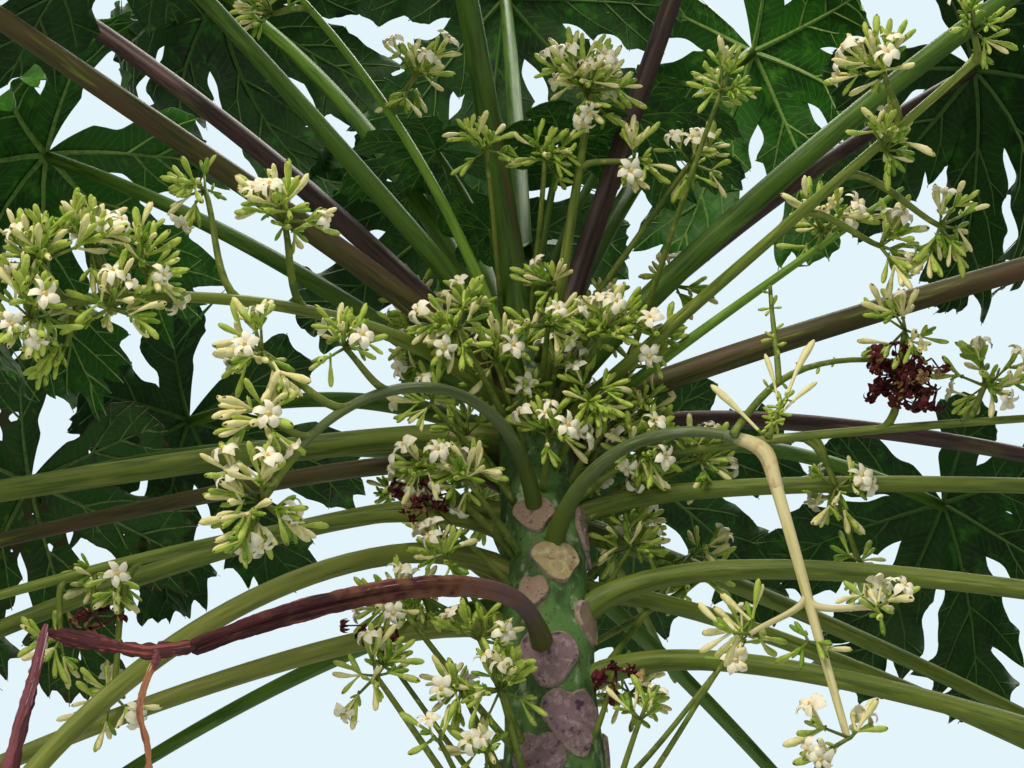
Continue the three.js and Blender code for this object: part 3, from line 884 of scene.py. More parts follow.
def make_stem(places):
    """The stem's skin, with a soft cushion under each scar, shallow flutes and a flared foot."""
    heights = np.linspace(0, STEM_HEIGHT, STEM_RINGS)
    line = np.array([stem_axis(height) for height in heights])
    corners, loops, sizes, tones = tube(STEM_SIDES, STEM_RINGS)
    ring = corners[:, 2].astype(int)
    turn = np.arctan2(corners[:, 1], corners[:, 0])
    high = heights[ring]
    random = dice(2)
    flutes = np.zeros(len(corners))
    for waves in range(2, 9):
        phase, lean = random.uniform(0, 6.3), random.uniform(-0.004, 0.004)
        flutes += FLUTE_HEIGHT / waves * np.sin(waves * turn + phase + high * lean * waves)
    cushion = np.zeros(len(corners))
    for height, azimuth, width, tall, _ in places:
        across = (np.degrees(turn) - azimuth + 180) % 360 - 180
        across = np.radians(across) * stem_radius(height)
        near = np.exp(-(across / (0.6 * width)) ** 2 - ((high - height + 0.15 * tall) / (0.6 * tall)) ** 2)
        cushion = np.maximum(cushion, near)
    fade = np.clip((STEM_HEIGHT - high) / CUSHION_FADE, 0, 1)
    out = stem_radius(high) + flutes * (1 - CUSHION_CALM * cushion) + fade * CUSHION_HEIGHT * (cushion - 0.5)
    flare = np.clip(1 - high / FLARE_HEIGHT, 0, 1) ** 2
    out = out * (1 + FLARE_WAVES * flare * np.sin(5 * turn + 1))
    placed = line[ring] + np.column_stack([np.cos(turn) * out, np.sin(turn) * out, np.zeros(len(corners))])
    mesh = mesh_from("stem_skin", [(placed, loops, sizes, tones)], 60)
    object_from(mesh, "stem_skin", [STEM_SKIN], ["stem"])


def scar_shape():
    """A round pad of radius 1 between -1 and 1, its top stepped in by rings for the rim and the dish."""
    bm = bmesh.new()
    bmesh.ops.create_cone(bm, cap_ends=True, segments=30, radius1=1, radius2=1, depth=2)
    top = max(bm.faces, key=lambda face: face.calc_center_median().z)
    for step in (0.1, 0.14, 0.2, 0.26):
        ring = bmesh.ops.inset_region(bm, faces=[top], thickness=step, depth=0)["faces"]
        for face in ring:
            face.material_index = 1 if step < 0.12 else 0
    bmesh.ops.poke(bm, faces=[top])
    return shape_of(bm)


def make_scars(places):
    """Heart-shaped corky pads, each with a raised rim round a dish, set on the stem's cushions."""
    corners, loops, sizes, tones = scar_shape()
    finishes = list(SCAR_FINISHES)
    random = dice(3)
    x, y, z = corners.T
    round_about, out = np.arctan2(y, x), np.hypot(x, y)
    up, down = np.clip(np.sin(round_about), 0, 1), np.clip(-np.sin(round_about), 0, 1)
    parts = []
    for height, azimuth, width, tall, finish in places:
        wobble = random.uniform(0, 6.3)
        # The heart is notched at its top, where the stalk's bud sat, and blunt at its foot.
        waves = 0.04 * np.sin(3 * round_about + wobble) + 0.03 * np.sin(5 * round_about - wobble)
        heart = 1 - 0.3 * up ** 14 + 0.05 * down ** 6 + waves
        narrow = 1 - 0.42 * down * np.abs(np.cos(round_about)) - 0.1 * down
        bumps = 0.5 * np.sin(x * 9 + wobble) * np.sin(y * 8 - wobble)
        raised = profile_at(SCAR_SECTION, out) + bumps * (out < 0.9)
        lift = np.where(z < 0, -SCAR_DEPTH, raised) + SCAR_LIFT
        high = height + y * heart * tall / 2
        turned = np.radians(azimuth) + x * heart * narrow * width / 2 / stem_radius(height)
        reach = stem_radius(high) + lift
        placed = np.column_stack([stem_lean(high) + np.cos(turned) * reach, np.sin(turned) * reach, high])
        parts.append((placed, loops, sizes, np.where(tones == 1, len(finishes), finishes.index(finish))))
    mesh = mesh_from("leaf_scars", parts, 50)
    object_from(mesh, "leaf_scars", [*SCAR_FINISHES.values(), SCAR_RIM])


# Leaves

def bent_line(start, heading, length, bend, steps):
    """A flat line that turns by a bend along its length."""
    angles = np.radians(heading + bend * (np.arange(steps) + 0.5) / steps)
    strides = np.column_stack([np.cos(angles), np.sin(angles)]) * length / steps
    return np.concatenate([[start], start + np.cumsum(strides, axis=0)])


def along_line(line, share):
    """The point at a share of a line's steps."""
    place = min(share, 0.999) * (len(line) - 1)
    index = int(place)
    return line[index] + (line[index + 1] - line[index]) * (place - index)


def lobe_ribs(angle, share, reach, random):
    """The ribs of one lobe in the blade's own plane: (line, half width of the leaf round it, order)."""
    size = reach / BLADE_SIZE
    length = reach * share * random.uniform(0.93, 1.0)
    heading = angle + random.uniform(-4, 4)
    bend = random.uniform(-12, 12)
    main = bent_line(np.zeros(2), heading, length, bend, 9)
    ribs = [(main, PALM_HALF_WIDTH * size * (0.6 + 0.4 * share), 0)]
    for at, side_share, half_width in SIDE_LOBES:
        if share < SHORT_LOBE and at < BARE_SHARE:
            continue
        for hand in (-1, 1):
            here = at + random.uniform(-0.03, 0.03) + hand * 0.014
            side_length = length * side_share * random.uniform(0.82, 1.15)
            out = heading + bend * here + hand * (SIDE_ANGLE + random.uniform(-7, 7))
            side = bent_line(along_line(main, here), out, side_length, hand * SIDE_CURVE, 3)
            width = half_width * size * random.uniform(0.88, 1.12)
            ribs.append((side, width, 1))
            if side_share < PLAIN_SIDE_LOBE:
                continue
            # The one tooth of a side lobe stands on the side that faces away from the main lobe's tip.
            tooth_at = TOOTH_AT + random.uniform(-0.12, 0.12)
            tooth_length = side_length * TOOTH_LENGTH * random.uniform(0.6, 1.1)
            tooth_out = out + hand * (TOOTH_ANGLE + random.uniform(-8, 8))
            tooth = bent_line(along_line(side, tooth_at), tooth_out, tooth_length, 0, 1)
            ribs.append((tooth, width * 0.5, 2))
    return ribs


class Lobe:
    """One lobe as straight pieces of rib, to tell how far inside its outline a point lies."""

    def __init__(self, angle, ribs, holes):
        self.angle, self.ribs, self.holes = math.radians(angle), ribs, holes
        self.starts = np.concatenate([line[:-1] for line, _, _ in ribs])
        runs = np.concatenate([np.diff(line, axis=0) for line, _, _ in ribs])
        self.lengths = np.linalg.norm(runs, axis=1)
        self.runs = runs / self.lengths[:, None]
        counts = [len(line) - 1 for line, _, _ in ribs]
        self.firsts = np.cumsum([0] + counts[:-1])
        self.begins = np.concatenate([np.arange(count) / count for count in counts])
        self.spans = np.concatenate([np.full(count, 1 / count) for count in counts])
        self.widths = np.concatenate([np.full(count, width) for (_, width, _), count in zip(ribs, counts)])
        self.orders = np.concatenate([np.full(count, order) for (_, _, order), count in zip(ribs, counts)])
        self.offsets = np.concatenate([reaches(line)[:-1] for line, _, _ in ribs])

    def measure(self, points):
        """For each point: depth inside the outline, nearest piece of rib, and distance to it."""
        x, y = points[:, 0], points[:, 1]
        off_x = x[None] - self.starts[:, :1]
        off_y = y[None] - self.starts[:, 1:]
        run_x, run_y = self.runs[:, :1], self.runs[:, 1:]
        kept = np.clip(off_x * run_x + off_y * run_y, 0, self.lengths[:, None])
        distance = np.hypot(off_x - run_x * kept, off_y - run_y * kept)
        share = self.begins[:, None] + self.spans[:, None] * kept / self.lengths[:, None]
        left = np.maximum(1 - share, 0)
        # A main lobe narrows all the way to its tip, and a side lobe widens first.
        profile = np.where(self.orders[:, None] == 0, left ** 0.8, (0.66 + 1.35 * share) * left ** 0.95)
        by_rib = np.maximum.reduceat(self.widths[:, None] * profile - distance, self.firsts, axis=0)
        depth = WEB * np.log(np.exp(np.maximum(by_rib, -150) / WEB).sum(axis=0))
        for hole_x, hole_y, size in self.holes:
            depth = np.minimum(depth, np.hypot(x - hole_x, y - hole_y) - size)
        # Near the hub a lobe keeps to its own sector, so that neighbours meet there and overlap further out.
        out = np.hypot(x, y)
        turned = np.abs((np.arctan2(y, x) - self.angle + math.pi) % (2 * math.pi) - math.pi)
        sector = out * np.sin(LOBE_SECTOR / 2 - turned) + LOBE_LAP + 3 * np.maximum(out - PALM_REACH, 0)
        return np.minimum(depth, sector), distance.argmin(axis=0), distance.min(axis=0)


def outline_edges(depth, grid_x, grid_y):
    """Points where the depth is nought on the edges of a grid, and the edges that join them."""
    points, edges = [], []
    across, upward = {}, {}
    inside = depth > 0
    for i, j in np.argwhere(inside[:-1] != inside[1:]):
        t = depth[i, j] / (depth[i, j] - depth[i + 1, j])
        across[i, j] = len(points)
        points.append((grid_x[i] + t * BLADE_GRID, grid_y[j]))
    for i, j in np.argwhere(inside[:, :-1] != inside[:, 1:]):
        t = depth[i, j] / (depth[i, j] - depth[i, j + 1])
        upward[i, j] = len(points)
        points.append((grid_x[i], grid_y[j] + t * BLADE_GRID))
    corners = inside[:-1, :-1].astype(int) + inside[1:, :-1] + inside[:-1, 1:] + inside[1:, 1:]
    for i, j in np.argwhere((corners > 0) & (corners < 4)):
        sides = (across.get((i, j)), upward.get((i, j)), across.get((i, j + 1)), upward.get((i + 1, j)))
        met = [side for side in sides if side is not None]
        for k in range(0, len(met) - 1, 2):
            edges.append((met[k], met[k + 1]))
    return points, edges


def lobe_sheet(lobe, random):
    """One lobe as a flat, closed sheet: corners, face corners, sizes and materials."""
    everything = np.concatenate([line for line, _, _ in lobe.ribs])
    low, high = everything.min(axis=0) - GRID_MARGIN, everything.max(axis=0) + GRID_MARGIN
    grid_x, grid_y = (np.arange(low[k], high[k], BLADE_GRID) for k in (0, 1))
    across, upward = np.meshgrid(grid_x, grid_y, indexing="ij")
    depth = lobe.measure(np.column_stack([across.ravel(), upward.ravel()]))[0]
    points, edges = outline_edges(depth.reshape(across.shape), grid_x, grid_y)
    inner_x, inner_y = np.meshgrid(*(np.arange(low[k], high[k], INNER_STEP) for k in (0, 1)), indexing="ij")
    inner = np.column_stack([inner_x.ravel(), inner_y.ravel()])
    inner = inner + random.uniform(-INNER_SHIFT, INNER_SHIFT, inner.shape)
    on_ribs = np.concatenate([line for line, _, order in lobe.ribs if order < 2])
    inner = np.concatenate([inner, on_ribs])
    points += [tuple(point) for point in inner[lobe.measure(inner)[0] > 4]]
    solved = delaunay_2d_cdt([Vector(point) for point in points], edges, [], 0, 0.05)
    corners = np.array([tuple(point) for point in solved[0]])
    triangles = np.array(solved[2])
    triangles = triangles[lobe.measure(corners[triangles].mean(axis=1))[0] > 0]
    bm = bmesh.new()
    verts = [bm.verts.new((x, y, 0)) for x, y in corners]
    for triangle in triangles:
        bm.faces.new([verts[k] for k in triangle])
    bmesh.ops.delete(bm, geom=[vert for vert in bm.verts if not vert.link_faces], context="VERTS")
    bmesh.ops.recalc_face_normals(bm, faces=bm.faces)
    bmesh.ops.solidify(bm, geom=bm.faces[:], thickness=BLADE_THICKNESS)
    middle = sum(vert.co.z for vert in bm.verts) / len(bm.verts)
    bm.normal_update()
    for face in bm.faces:
        level = face.calc_center_median().z - middle
        face.material_index = 0 if abs(face.normal.z) > 0.5 and level > 0 else 1
    sheet = shape_of(bm)
    sheet[0][:, 2] -= middle
    return sheet


def rib_part(line, order, size):
    """A raised rib on the underside of a flat blade."""
    foot, tip = RIB_THICKNESS[order]
    corners, loops, sizes, tones = tube(4, len(line))
    ring = corners[:, 2].astype(int)
    ahead = np.gradient(line, axis=0)
    ahead /= np.linalg.norm(ahead, axis=1)[:, None]
    share = (ring / (len(line) - 1)) ** (0.7 if order == 0 else 1)
    thick = (foot + (tip - foot) * share) * size
    aside = thick * corners[:, 0]
    placed = np.column_stack([
        line[ring][:, 0] - ahead[ring][:, 1] * aside,
        line[ring][:, 1] + ahead[ring][:, 0] * aside,
        -BLADE_THICKNESS / 2 - 0.35 * thick + 0.8 * thick * corners[:, 1],
    ])
    return placed, loops, sizes, tones + 2


def vein_places(lobe, flat, loops, sizes):
    """For each face corner its run along the face's nearest rib, which the veins cross."""
    owner = np.repeat(np.arange(len(sizes)), sizes)
    starts = np.concatenate([[0], np.cumsum(sizes)[:-1]])
    centres = np.add.reduceat(flat[loops][:, :2], starts, axis=0) / sizes[:, None]
    nearest = lobe.measure(centres)[1][owner]
    off = flat[loops][:, :2] - lobe.starts[nearest]
    run = lobe.runs[nearest]
    along = (off * run).sum(axis=1) + lobe.offsets[nearest]
    across = np.abs(off[:, 0] * run[:, 1] - off[:, 1] * run[:, 0])
    return np.column_stack([(along - 0.7 * across) / VEIN_SPACING, across, np.zeros(len(loops))])


def lobe_lift(lobe, flat, random, curl):
    """How far a lobe lifts off its plane: quilted between its ribs and wavy at its margin."""
    depth, _, distance = lobe.measure(flat[:, :2])
    quilt = QUILT * (1 - np.exp(-(distance / QUILT_WIDTH) ** 2))
    rim = np.exp(-np.clip(depth, 0, None) / 14)
    x, y = flat[:, 0], flat[:, 1]
    phase = random.uniform(0, 2 * math.pi)
    wave = np.sin(x / 12 + 2.3 * np.sin(y / 25 + phase)) + np.sin(y / 14 + 2.1 * np.sin(x / 21 + phase))
    out = np.hypot(x, y)
    beyond = np.clip((out - PALM_REACH) / 90, 0, 1)
    own_level = random.uniform(-9, 9)
    return flat[:, 2] + quilt + curl * rim * wave * beyond + own_level * beyond, depth, beyond


def bend_lobe(flat, lift, beyond, reach, droop, random):
    """Bends a flat lobe down and away from the hub, with a droop of its own past the palm."""
    out = np.hypot(flat[:, 0], flat[:, 1])
    turn = np.arctan2(flat[:, 1], flat[:, 0])
    radius = reach / np.radians(droop * (1 + random.uniform(-0.3, 0.3) * beyond))
    swing = out / radius
    outward = radius * np.sin(swing) + lift * np.sin(swing)
    down = -radius * (1 - np.cos(swing)) + lift * np.cos(swing)
    return np.column_stack([outward * np.cos(turn), outward * np.sin(turn), down])


def make_blade(name, azimuth, reach, pitch, droop, finish, hub, index, replaced=()):
    """A blade of lobes round a hub. Specked and old blades are worn, with holes."""
    random = dice(10, index)
    worn = finish in ("specked", "old")
    ahead = direction(azimuth, pitch)
    side = direction(azimuth + 90, 0)
    up = direction(azimuth, pitch + 90)
    parts, flats, veins = [], [], []
    curl = random.uniform(2.5, 5)
    for angle, share in LOBES:
        ribs = lobe_ribs(angle, share, reach, random)
        holes = []
        for _ in range(3 if worn else 0):
            x, y = along_line(ribs[0][0], random.uniform(0.3, 0.95)) + random.uniform(-40, 40, 2)
            holes.append((x, y, random.uniform(2.5, 9)))
        lobe = Lobe(angle, ribs, holes)
        parts.append(lobe_sheet(lobe, random))
        for line, _, order in ribs:
            parts.append(rib_part(line, order, reach / BLADE_SIZE))
        count = len(ribs) + 1
        flat = np.concatenate([part[0] for part in parts[-count:]])
        lift, depth, beyond = lobe_lift(lobe, flat, random, curl)
        shaped = bend_lobe(flat, lift, beyond, reach, droop, random)
        placed = hub + shaped[:, :1] * ahead + shaped[:, 1:2] * side + shaped[:, 2:] * up
        flats.append(np.column_stack([flat[:, :2], np.clip(depth, 0, None)]))
        first = 0
        for k in range(len(parts) - count, len(parts)):
            corners, loops, sizes, tones = parts[k]
            veins.append(vein_places(lobe, corners, loops, sizes))
            parts[k] = (placed[first:first + len(corners)], loops, sizes, tones)
            first += len(corners)
    mesh = mesh_from(f"{name}_blade", parts, 70)
    keep_places(mesh, "flat", np.concatenate(flats) * MM)
    keep_places(mesh, "veins", np.concatenate(veins), "CORNER")
    # A blade's dark and bright skins carry painted shade and painted light.
    object_from(mesh, f"{name}_blade", [TOPS[finish], UNDERSIDES[finish], RIBS[finish]], replaced)


def make_leaf(row, index):
    name, drop, azimuth, rise, bend, lift, length, radius, reach, pitch, droop, stalk, blade = row
    line = stalk_line(drop, azimuth, 0, rise, bend, lift, length)
    up = direction(azimuth, pitch + 90)
    hub = line[-1] + up * HUB_RISE
    line = np.concatenate([line, [line[-1] + up * HUB_RISE * 0.8]])
    ripple = lambda share, turn: 1 + 0.03 * np.sin(5 * turn + 3 * share + index) + 0.015 * np.sin(9 * turn)
    radius_at = foot_radius(radius, LEAF_STALK_TAPER)
    nodes = [f"leaf_{name}"]
    limb(f"leaf_{name}_stalk", line, radius_at, 20, STALK_FINISHES[stalk], nodes, ripple)
    make_blade(f"leaf_{name}", azimuth, reach, pitch, droop, blade, hub, index, nodes)


def make_young_leaves():
    """The youngest leaves, small and still half upright, out of the stem's tip."""
    for index, (azimuth, rise, length, radius, reach, pitch) in enumerate(YOUNG_LEAVES):
        drop = YOUNG_LEAF_DROP + YOUNG_LEAF_STEP * index
        line = stalk_line(drop, azimuth, 0, rise, YOUNG_LEAF_BEND, 0, length)
        hub = line[-1] + direction(azimuth, pitch + 90) * YOUNG_HUB_RISE
        seed = YOUNG_LEAF_SEED + index
        name = f"young_leaf_{index + 1}"
        radius_at = foot_radius(radius, LEAF_STALK_TAPER)
        limb(f"{name}_stalk", line, radius_at, 14, STALK_FINISHES["green"])
        # Young blades take the bright skins, lightened as painted light.
        make_blade(name, azimuth, reach, pitch, YOUNG_LEAF_DROOP, "painted_light", hub, seed)


# Flower stalks

def carrier_lines():
    """Each flower stalk's line by name."""
    lines = {}
    for name, drop, azimuth, sway, rise, bend, lift, length, _, _ in FLOWER_STALKS:
        lines[name] = stalk_line(drop, azimuth, sway, rise, bend, lift, length)
    name, azimuth, fall, length, radius = HANGING_STALK
    start = lines["right_arch"][-1] - np.array([0, 0, HANGING_GAP + radius])
    lines[name] = followed(start, lambda reach: azimuth, lambda reach: -fall, length)
    return lines


def make_flower_stalks(lines):
    for index, row in enumerate(FLOWER_STALKS):
        name, radius, finish = row[0], row[8], row[9]
        ripple = lambda share, turn: 1 + 0.05 * np.sin(4 * turn + 5 * share + index)
        limb(
            f"flower_stalk_{name}_limb", lines[name], foot_radius(radius, FLOWER_STALK_TAPER), 16,
            FLOWER_STALK_FINISHES[finish], [f"flower_stalk_{name}"], ripple=ripple,
        )
    name, radius = HANGING_STALK[0], HANGING_STALK[4]
    limb(
        f"flower_stalk_{name}_limb", lines[name], foot_radius(radius, FLOWER_STALK_TAPER, 1), 14,
        FLOWER_STALK_FINISHES["pale"], [f"flower_stalk_{name}"],
        ripple=lambda share, turn: 1 + 0.06 * np.sin(3 * turn + 9 * share),
    )
    arch, hanging = lines["right_arch"], lines[name]
    joint = through([arch[-7], arch[-3], arch[-1] - [0, 0, 4], hanging[2], hanging[6]], 24)
    limb(
        "flower_stalk_right_joint", joint,
        lambda reach, share: radius * profile_at(JOINT_SWELL, share),
        16, JOINT_SKIN,
    )


def make_dead_stalk():
    """The dead leaf's stalk, fallen in to two ridges beside a groove, and the torn strips past its knot."""
    drop, azimuth, sway, rise, bend, lift, length, radius = DEAD_LEAF_STALK
    line = through(stalk_line(drop, azimuth, sway, rise, bend, lift, length), DEAD_RINGS)
    random = dice(40)
    ragged = np.convolve(random.normal(size=RAGGED_STEPS), np.ones(3) / 3, "same")

    def ripple(share, turn):
        fallen = np.clip(2.2 * share - 0.2, 0, 1)
        groove = np.exp(-((turn + 0.5) / 0.42) ** 2)
        broad = np.cos(2 * (turn - 1.05))
        torn = 0.09 * ragged[np.round(share * (DEAD_RINGS - 1)).astype(int)] * (broad > 0)
        ridges = 0.05 * np.sin(7 * turn + 9 * share) + 0.04 * np.sin(13 * turn - 23 * share)
        return 1 + fallen * (0.3 * broad - 0.45 * groove + torn) + ridges

    def radius_at(reach, share):
        return radius * profile_at(DEAD_SWELL, share)

    limb(
        "dried_leaf_stalk_limb", line, radius_at, 32, DRIED_SKINS[0],
        ["dried_leaf_stalk"], ripple,
    )
    parts, places = [], []
    for pixels, half, tone in DEAD_STRIPS:
        strip = through([on_plane(u, v, line[-1][1] + random.uniform(-4, 4)) for u, v in pixels], 48)
        share = np.linspace(0, 1, len(strip))
        torn = 1 + 0.2 * np.convolve(random.normal(size=len(strip)), np.ones(2) / 2, "same")
        radii = half * torn * np.minimum(1, 0.3 + 5 * (1 - share)) * np.minimum(1, 0.4 + 8 * share)
        twist = random.uniform(-1.2, 1.2)
        part, straight = tube_along(strip, radii, 10, None, tone, 0.26, twist, (0, 1, 0))
        parts.append(part)
        places.append(straight + [0, 0, length])
    mesh = mesh_from("dried_leaf_stalk_strips", parts, 60)
    keep_places(mesh, "straight", np.concatenate(places) * MM)
    object_from(mesh, "dried_leaf_stalk_strips", DRIED_SKINS)


# Blossom: one shape for each small thing, set out many times in a joined mesh

def turned_shape(profile, sides, bow=0.0):
    """A rounded shape of (height, radius) rings, bowed a little to one side."""
    bm = bmesh.new()
    bmesh.ops.create_cone(bm, cap_ends=True, segments=sides, radius1=1, radius2=1, depth=2)
    uprights = [e for e in bm.edges if abs(e.verts[0].co.z - e.verts[1].co.z) > 1]
    if len(profile) > 2:
        bmesh.ops.subdivide_edges(bm, edges=uprights, cuts=len(profile) - 2, use_grid_fill=True)
    for vert in bm.verts:
        height, radius = profile[round((vert.co.z + 1) / 2 * (len(profile) - 1))]
        vert.co = (vert.co.x * radius + bow * 4 * height * (1 - height), vert.co.y * radius, height)
    return bm


# Numbers of the skins: the calyx of buds and flowers, the speck at a bud's tip, and a flower's other parts.
CALYX = 3
TIP_SPECK = 4
PETAL = 0
THROAT = 1
FLOWER_TUBE = 2

# Buds, of length 1: height and radius of each ring. A grown bud is a slender tube that swells to a club.
GROWN_BUD = [(0, 0.03), (0.08, 0.04), (0.38, 0.043), (0.58, 0.078), (0.78, 0.1), (0.94, 0.075), (1, 0.025)]
YOUNG_BUD = [(0, 0.035), (0.16, 0.05), (0.44, 0.1), (0.7, 0.13), (0.92, 0.095), (1, 0.03)]


def bud_shape(profile, sides, bow):
    bm = turned_shape(profile, sides, bow)
    for face in bm.faces:
        face.material_index = CALYX if face.calc_center_median().z < 0.07 else 0
    speck = min(bm.faces, key=lambda f: (f.calc_center_median() - Vector((0.07, 0.0, 0.96))).length)
    speck.material_index = TIP_SPECK
    return shape_of(bm)


def flower_shape(opened):
    """An open flower of height 1: a slender tube, five narrow petals that curl back, and a pale throat."""
    bm = turned_shape([(0, 0.035), (0.1, 0.05), (0.55, 0.05), (0.86, 0.1)], 5)
    for face in bm.faces:
        face.material_index = FLOWER_TUBE if face.calc_center_median().z > 0.3 else CALYX
    for petal in range(5):
        grid = bmesh.ops.create_grid(bm, x_segments=4, y_segments=2, size=0.5)
        turn = 2 * math.pi * petal / 5
        for vert in grid["verts"]:
            share = vert.co.x + 0.5
            half = 0.14 * math.sin(math.pi * min(0.2 + share * 0.8, 1)) ** 0.7 + 0.012
            aside = vert.co.y * 2 * half
            # Each petal rises from the tube, turns outwards and curls back at its end.
            lean = math.radians(20 + opened * share)
            out = 0.075 + 0.6 * share * math.sin(lean) / (1 + 0.35 * share)
            high = 0.84 + 0.5 * share * math.cos(lean) - 0.6 * abs(aside)
            twist = turn + 0.45 * share
            vert.co = (
                out * math.cos(twist) - aside * math.sin(twist),
                out * math.sin(twist) + aside * math.cos(twist),
                high + 0.5 * aside,
            )
        for face in {f for v in grid["verts"] for f in v.link_faces}:
            face.material_index = PETAL
    throat = bmesh.ops.create_cone(bm, cap_ends=True, segments=5, radius1=0.07, radius2=0.03, depth=0.1)
    for vert in throat["verts"]:
        vert.co.z += 0.9
        for face in vert.link_faces:
            face.material_index = THROAT
    return shape_of(bm)


SHAPES = {}


def pose(place, ahead, spin, width, length):
    """A 3 by 4 matrix that stands a shape at a place, its Z along a direction."""
    ahead = unit(ahead)
    helper = np.array([0, 0, 1.0]) if abs(ahead[2]) < 0.9 else np.array([1.0, 0, 0])
    side = unit(np.cross(helper, ahead))
    other = np.cross(ahead, side)
    turned = side * math.cos(spin) + other * math.sin(spin)
    return np.column_stack([turned * width, np.cross(ahead, turned) * width, ahead * length, place])


def joined(name, items, materials):
    """One mesh of many set-out shapes: items are (shape, pose, tone or None)."""
    parts = []
    for shape, matrix, tone in items:
        corners, loops, sizes, tones = SHAPES[shape]
        if tone is not None:
            tones = np.where(tones == 0, tone, tones)
        parts.append((corners @ matrix[:, :3].T + matrix[:, 3], loops, sizes, tones))
    return object_from(mesh_from(name, parts), name, materials)


# Open flowers turn a little to the front and up, to the light.
TO_LIGHT = np.array([0, -0.3, 0.25])


class Blossom:
    """Gathers the buds, flowers, twigs and side branches of every head."""

    def __init__(self):
        self.buds, self.flowers, self.twigs, self.branches, self.withered = [], [], [], [], []

    def twig(self, start, end, thick):
        self.twigs.append(("twig", pose(start, end - start, 0, thick, np.linalg.norm(end - start)), None))

    def branch(self, start, lean, end, thick, tone=0):
        """A curved side branch, as a chain of tapering links."""
        span = np.linalg.norm(end - start)
        line = curve(start, start + lean * span * 0.3, end - unit(end - start) * span * 0.3, end, 10)
        self.branches.append((line, thick, tone))
        return unit(line[-1] - line[-2])

    def head(self, centre, axis, spread, buds, flowers, age, random):
        """A bunch of twigs out of a centre, which take turns to carry the buds and flowers at their tips."""
        count = round(buds * BUD_PLENTY)
        arms = max(4, (count + flowers) // 6)
        tips = []
        for _ in range(arms):
            ahead = unit(axis * 0.5 + any_direction(random))
            tip = centre + ahead * spread * random.uniform(0.15, 0.55)
            self.twig(centre, tip, random.uniform(1.2, 1.8))
            tips.append((tip, ahead))
        for i in range(count):
            tip, ahead = tips[i % arms]
            heading = unit(ahead + any_direction(random) * 0.85)
            if random.uniform(0, 1) < 0.14 + age * 0.5:
                length = random.uniform(25, 37) * (0.85 + 0.25 * age)
                tone = 2 if random.uniform(0, 1) < age * 0.62 else 1
                shape = "grown_bud" if random.uniform(0, 1) < 0.5 else "bowed_bud"
            else:
                length = random.uniform(10, 23) * (0.9 + 0.25 * age)
                tone = 0 if random.uniform(0, 1) < 0.8 - 0.3 * age else 1
                shape = "young_bud"
            width = length * random.uniform(0.8, 1.02)
            foot = tip - heading * random.uniform(0, 4)
            self.buds.append((shape, pose(foot, heading, random.uniform(0, 6.3), width, length), tone))
        for i in range(flowers):
            tip, ahead = tips[(i * 3) % arms]
            heading = unit(ahead + any_direction(random) * 0.5 + TO_LIGHT)
            size = random.uniform(22, 29)
            shape = ("flower", "wide_flower")[i % 2]
            self.flowers.append((shape, pose(tip, heading, random.uniform(0, 6.3), size, size), None))

    def make(self):
        for tone, kind in enumerate(("green", "yellow_green", "cream")):
            own = [item for item in self.buds if item[2] == tone]
            joined(f"buds_{kind}", own, BUD_SKINS)
        joined("flowers", self.flowers, FLOWER_SKINS)
        joined("flower_twigs", self.twigs, [TWIG_SKIN])
        joined("withered_flowers", self.withered, WITHERED_SKINS)
        parts, places = [], []
        for line, thick, tone in self.branches:
            part, straight = tube_along(line, thick * np.linspace(1.15, 0.7, len(line)), 8, tone=tone)
            parts.append(part)
            places.append(straight)
        mesh = mesh_from("flower_branches", parts)
        keep_places(mesh, "straight", np.concatenate(places) * MM)
        object_from(mesh, "flower_branches", [TWIG_SKIN, FLOWER_STALK_FINISHES["pale"]])


def nearest_on(line, ray):
    """The number of the point of a line nearest to a ray from the camera, and the reach of the ray there."""
    off = line - np.array(CAMERA_PLACE)
    reach = off @ ray / (ray @ ray)
    gap = np.linalg.norm(off - reach[:, None] * ray, axis=1)
    best = gap.argmin()
    return best, reach[best]


def head_place(carrier, u, v, nearer, lines):
    """Where a head's side branch starts, how it leans there, and where the head stands."""
    camera = np.array(CAMERA_PLACE)
    ray = sight(u, v)
    if carrier == "stem":
        centre = on_plane(u, v, -nearer)
        off = centre - stem_axis(centre[2])
        azimuth = math.degrees(math.atan2(off[1], off[0]))
        climb = np.interp(v, CLIMB_ROWS, CLIMB) * math.hypot(off[0], off[1])
        height = np.clip(centre[2] - climb, *BRANCH_FEET)
        return on_stem(height, azimuth, -4), unit(direction(azimuth, 0) + np.array([0, 0, 0.7])), centre
    line = lines[carrier]
    best, reach = nearest_on(line, ray)
    centre = camera + ray * (reach - nearer / np.linalg.norm(ray))
    gap = np.linalg.norm(centre - line[best])
    first = max(int(best - 0.4 * gap / np.linalg.norm(line[1] - line[0])), 2)
    return line[first], unit(line[first + 1] - line[first]), centre


def grow_heads(blossom, lines):
    for index, (carrier, u, v, nearer, spread, buds, flowers, age) in enumerate(HEADS):
        start, lean, centre = head_place(carrier, u, v, nearer, lines)
        axis = lean
        if np.linalg.norm(centre - start) > BRANCH_FROM:
            pale = 1 if carrier == "right_hanging" else 0
            axis = blossom.branch(start, lean, centre, 2.6 + 0.02 * spread, pale)
        blossom.head(centre, axis, spread, buds, flowers, age, dice(20, index))


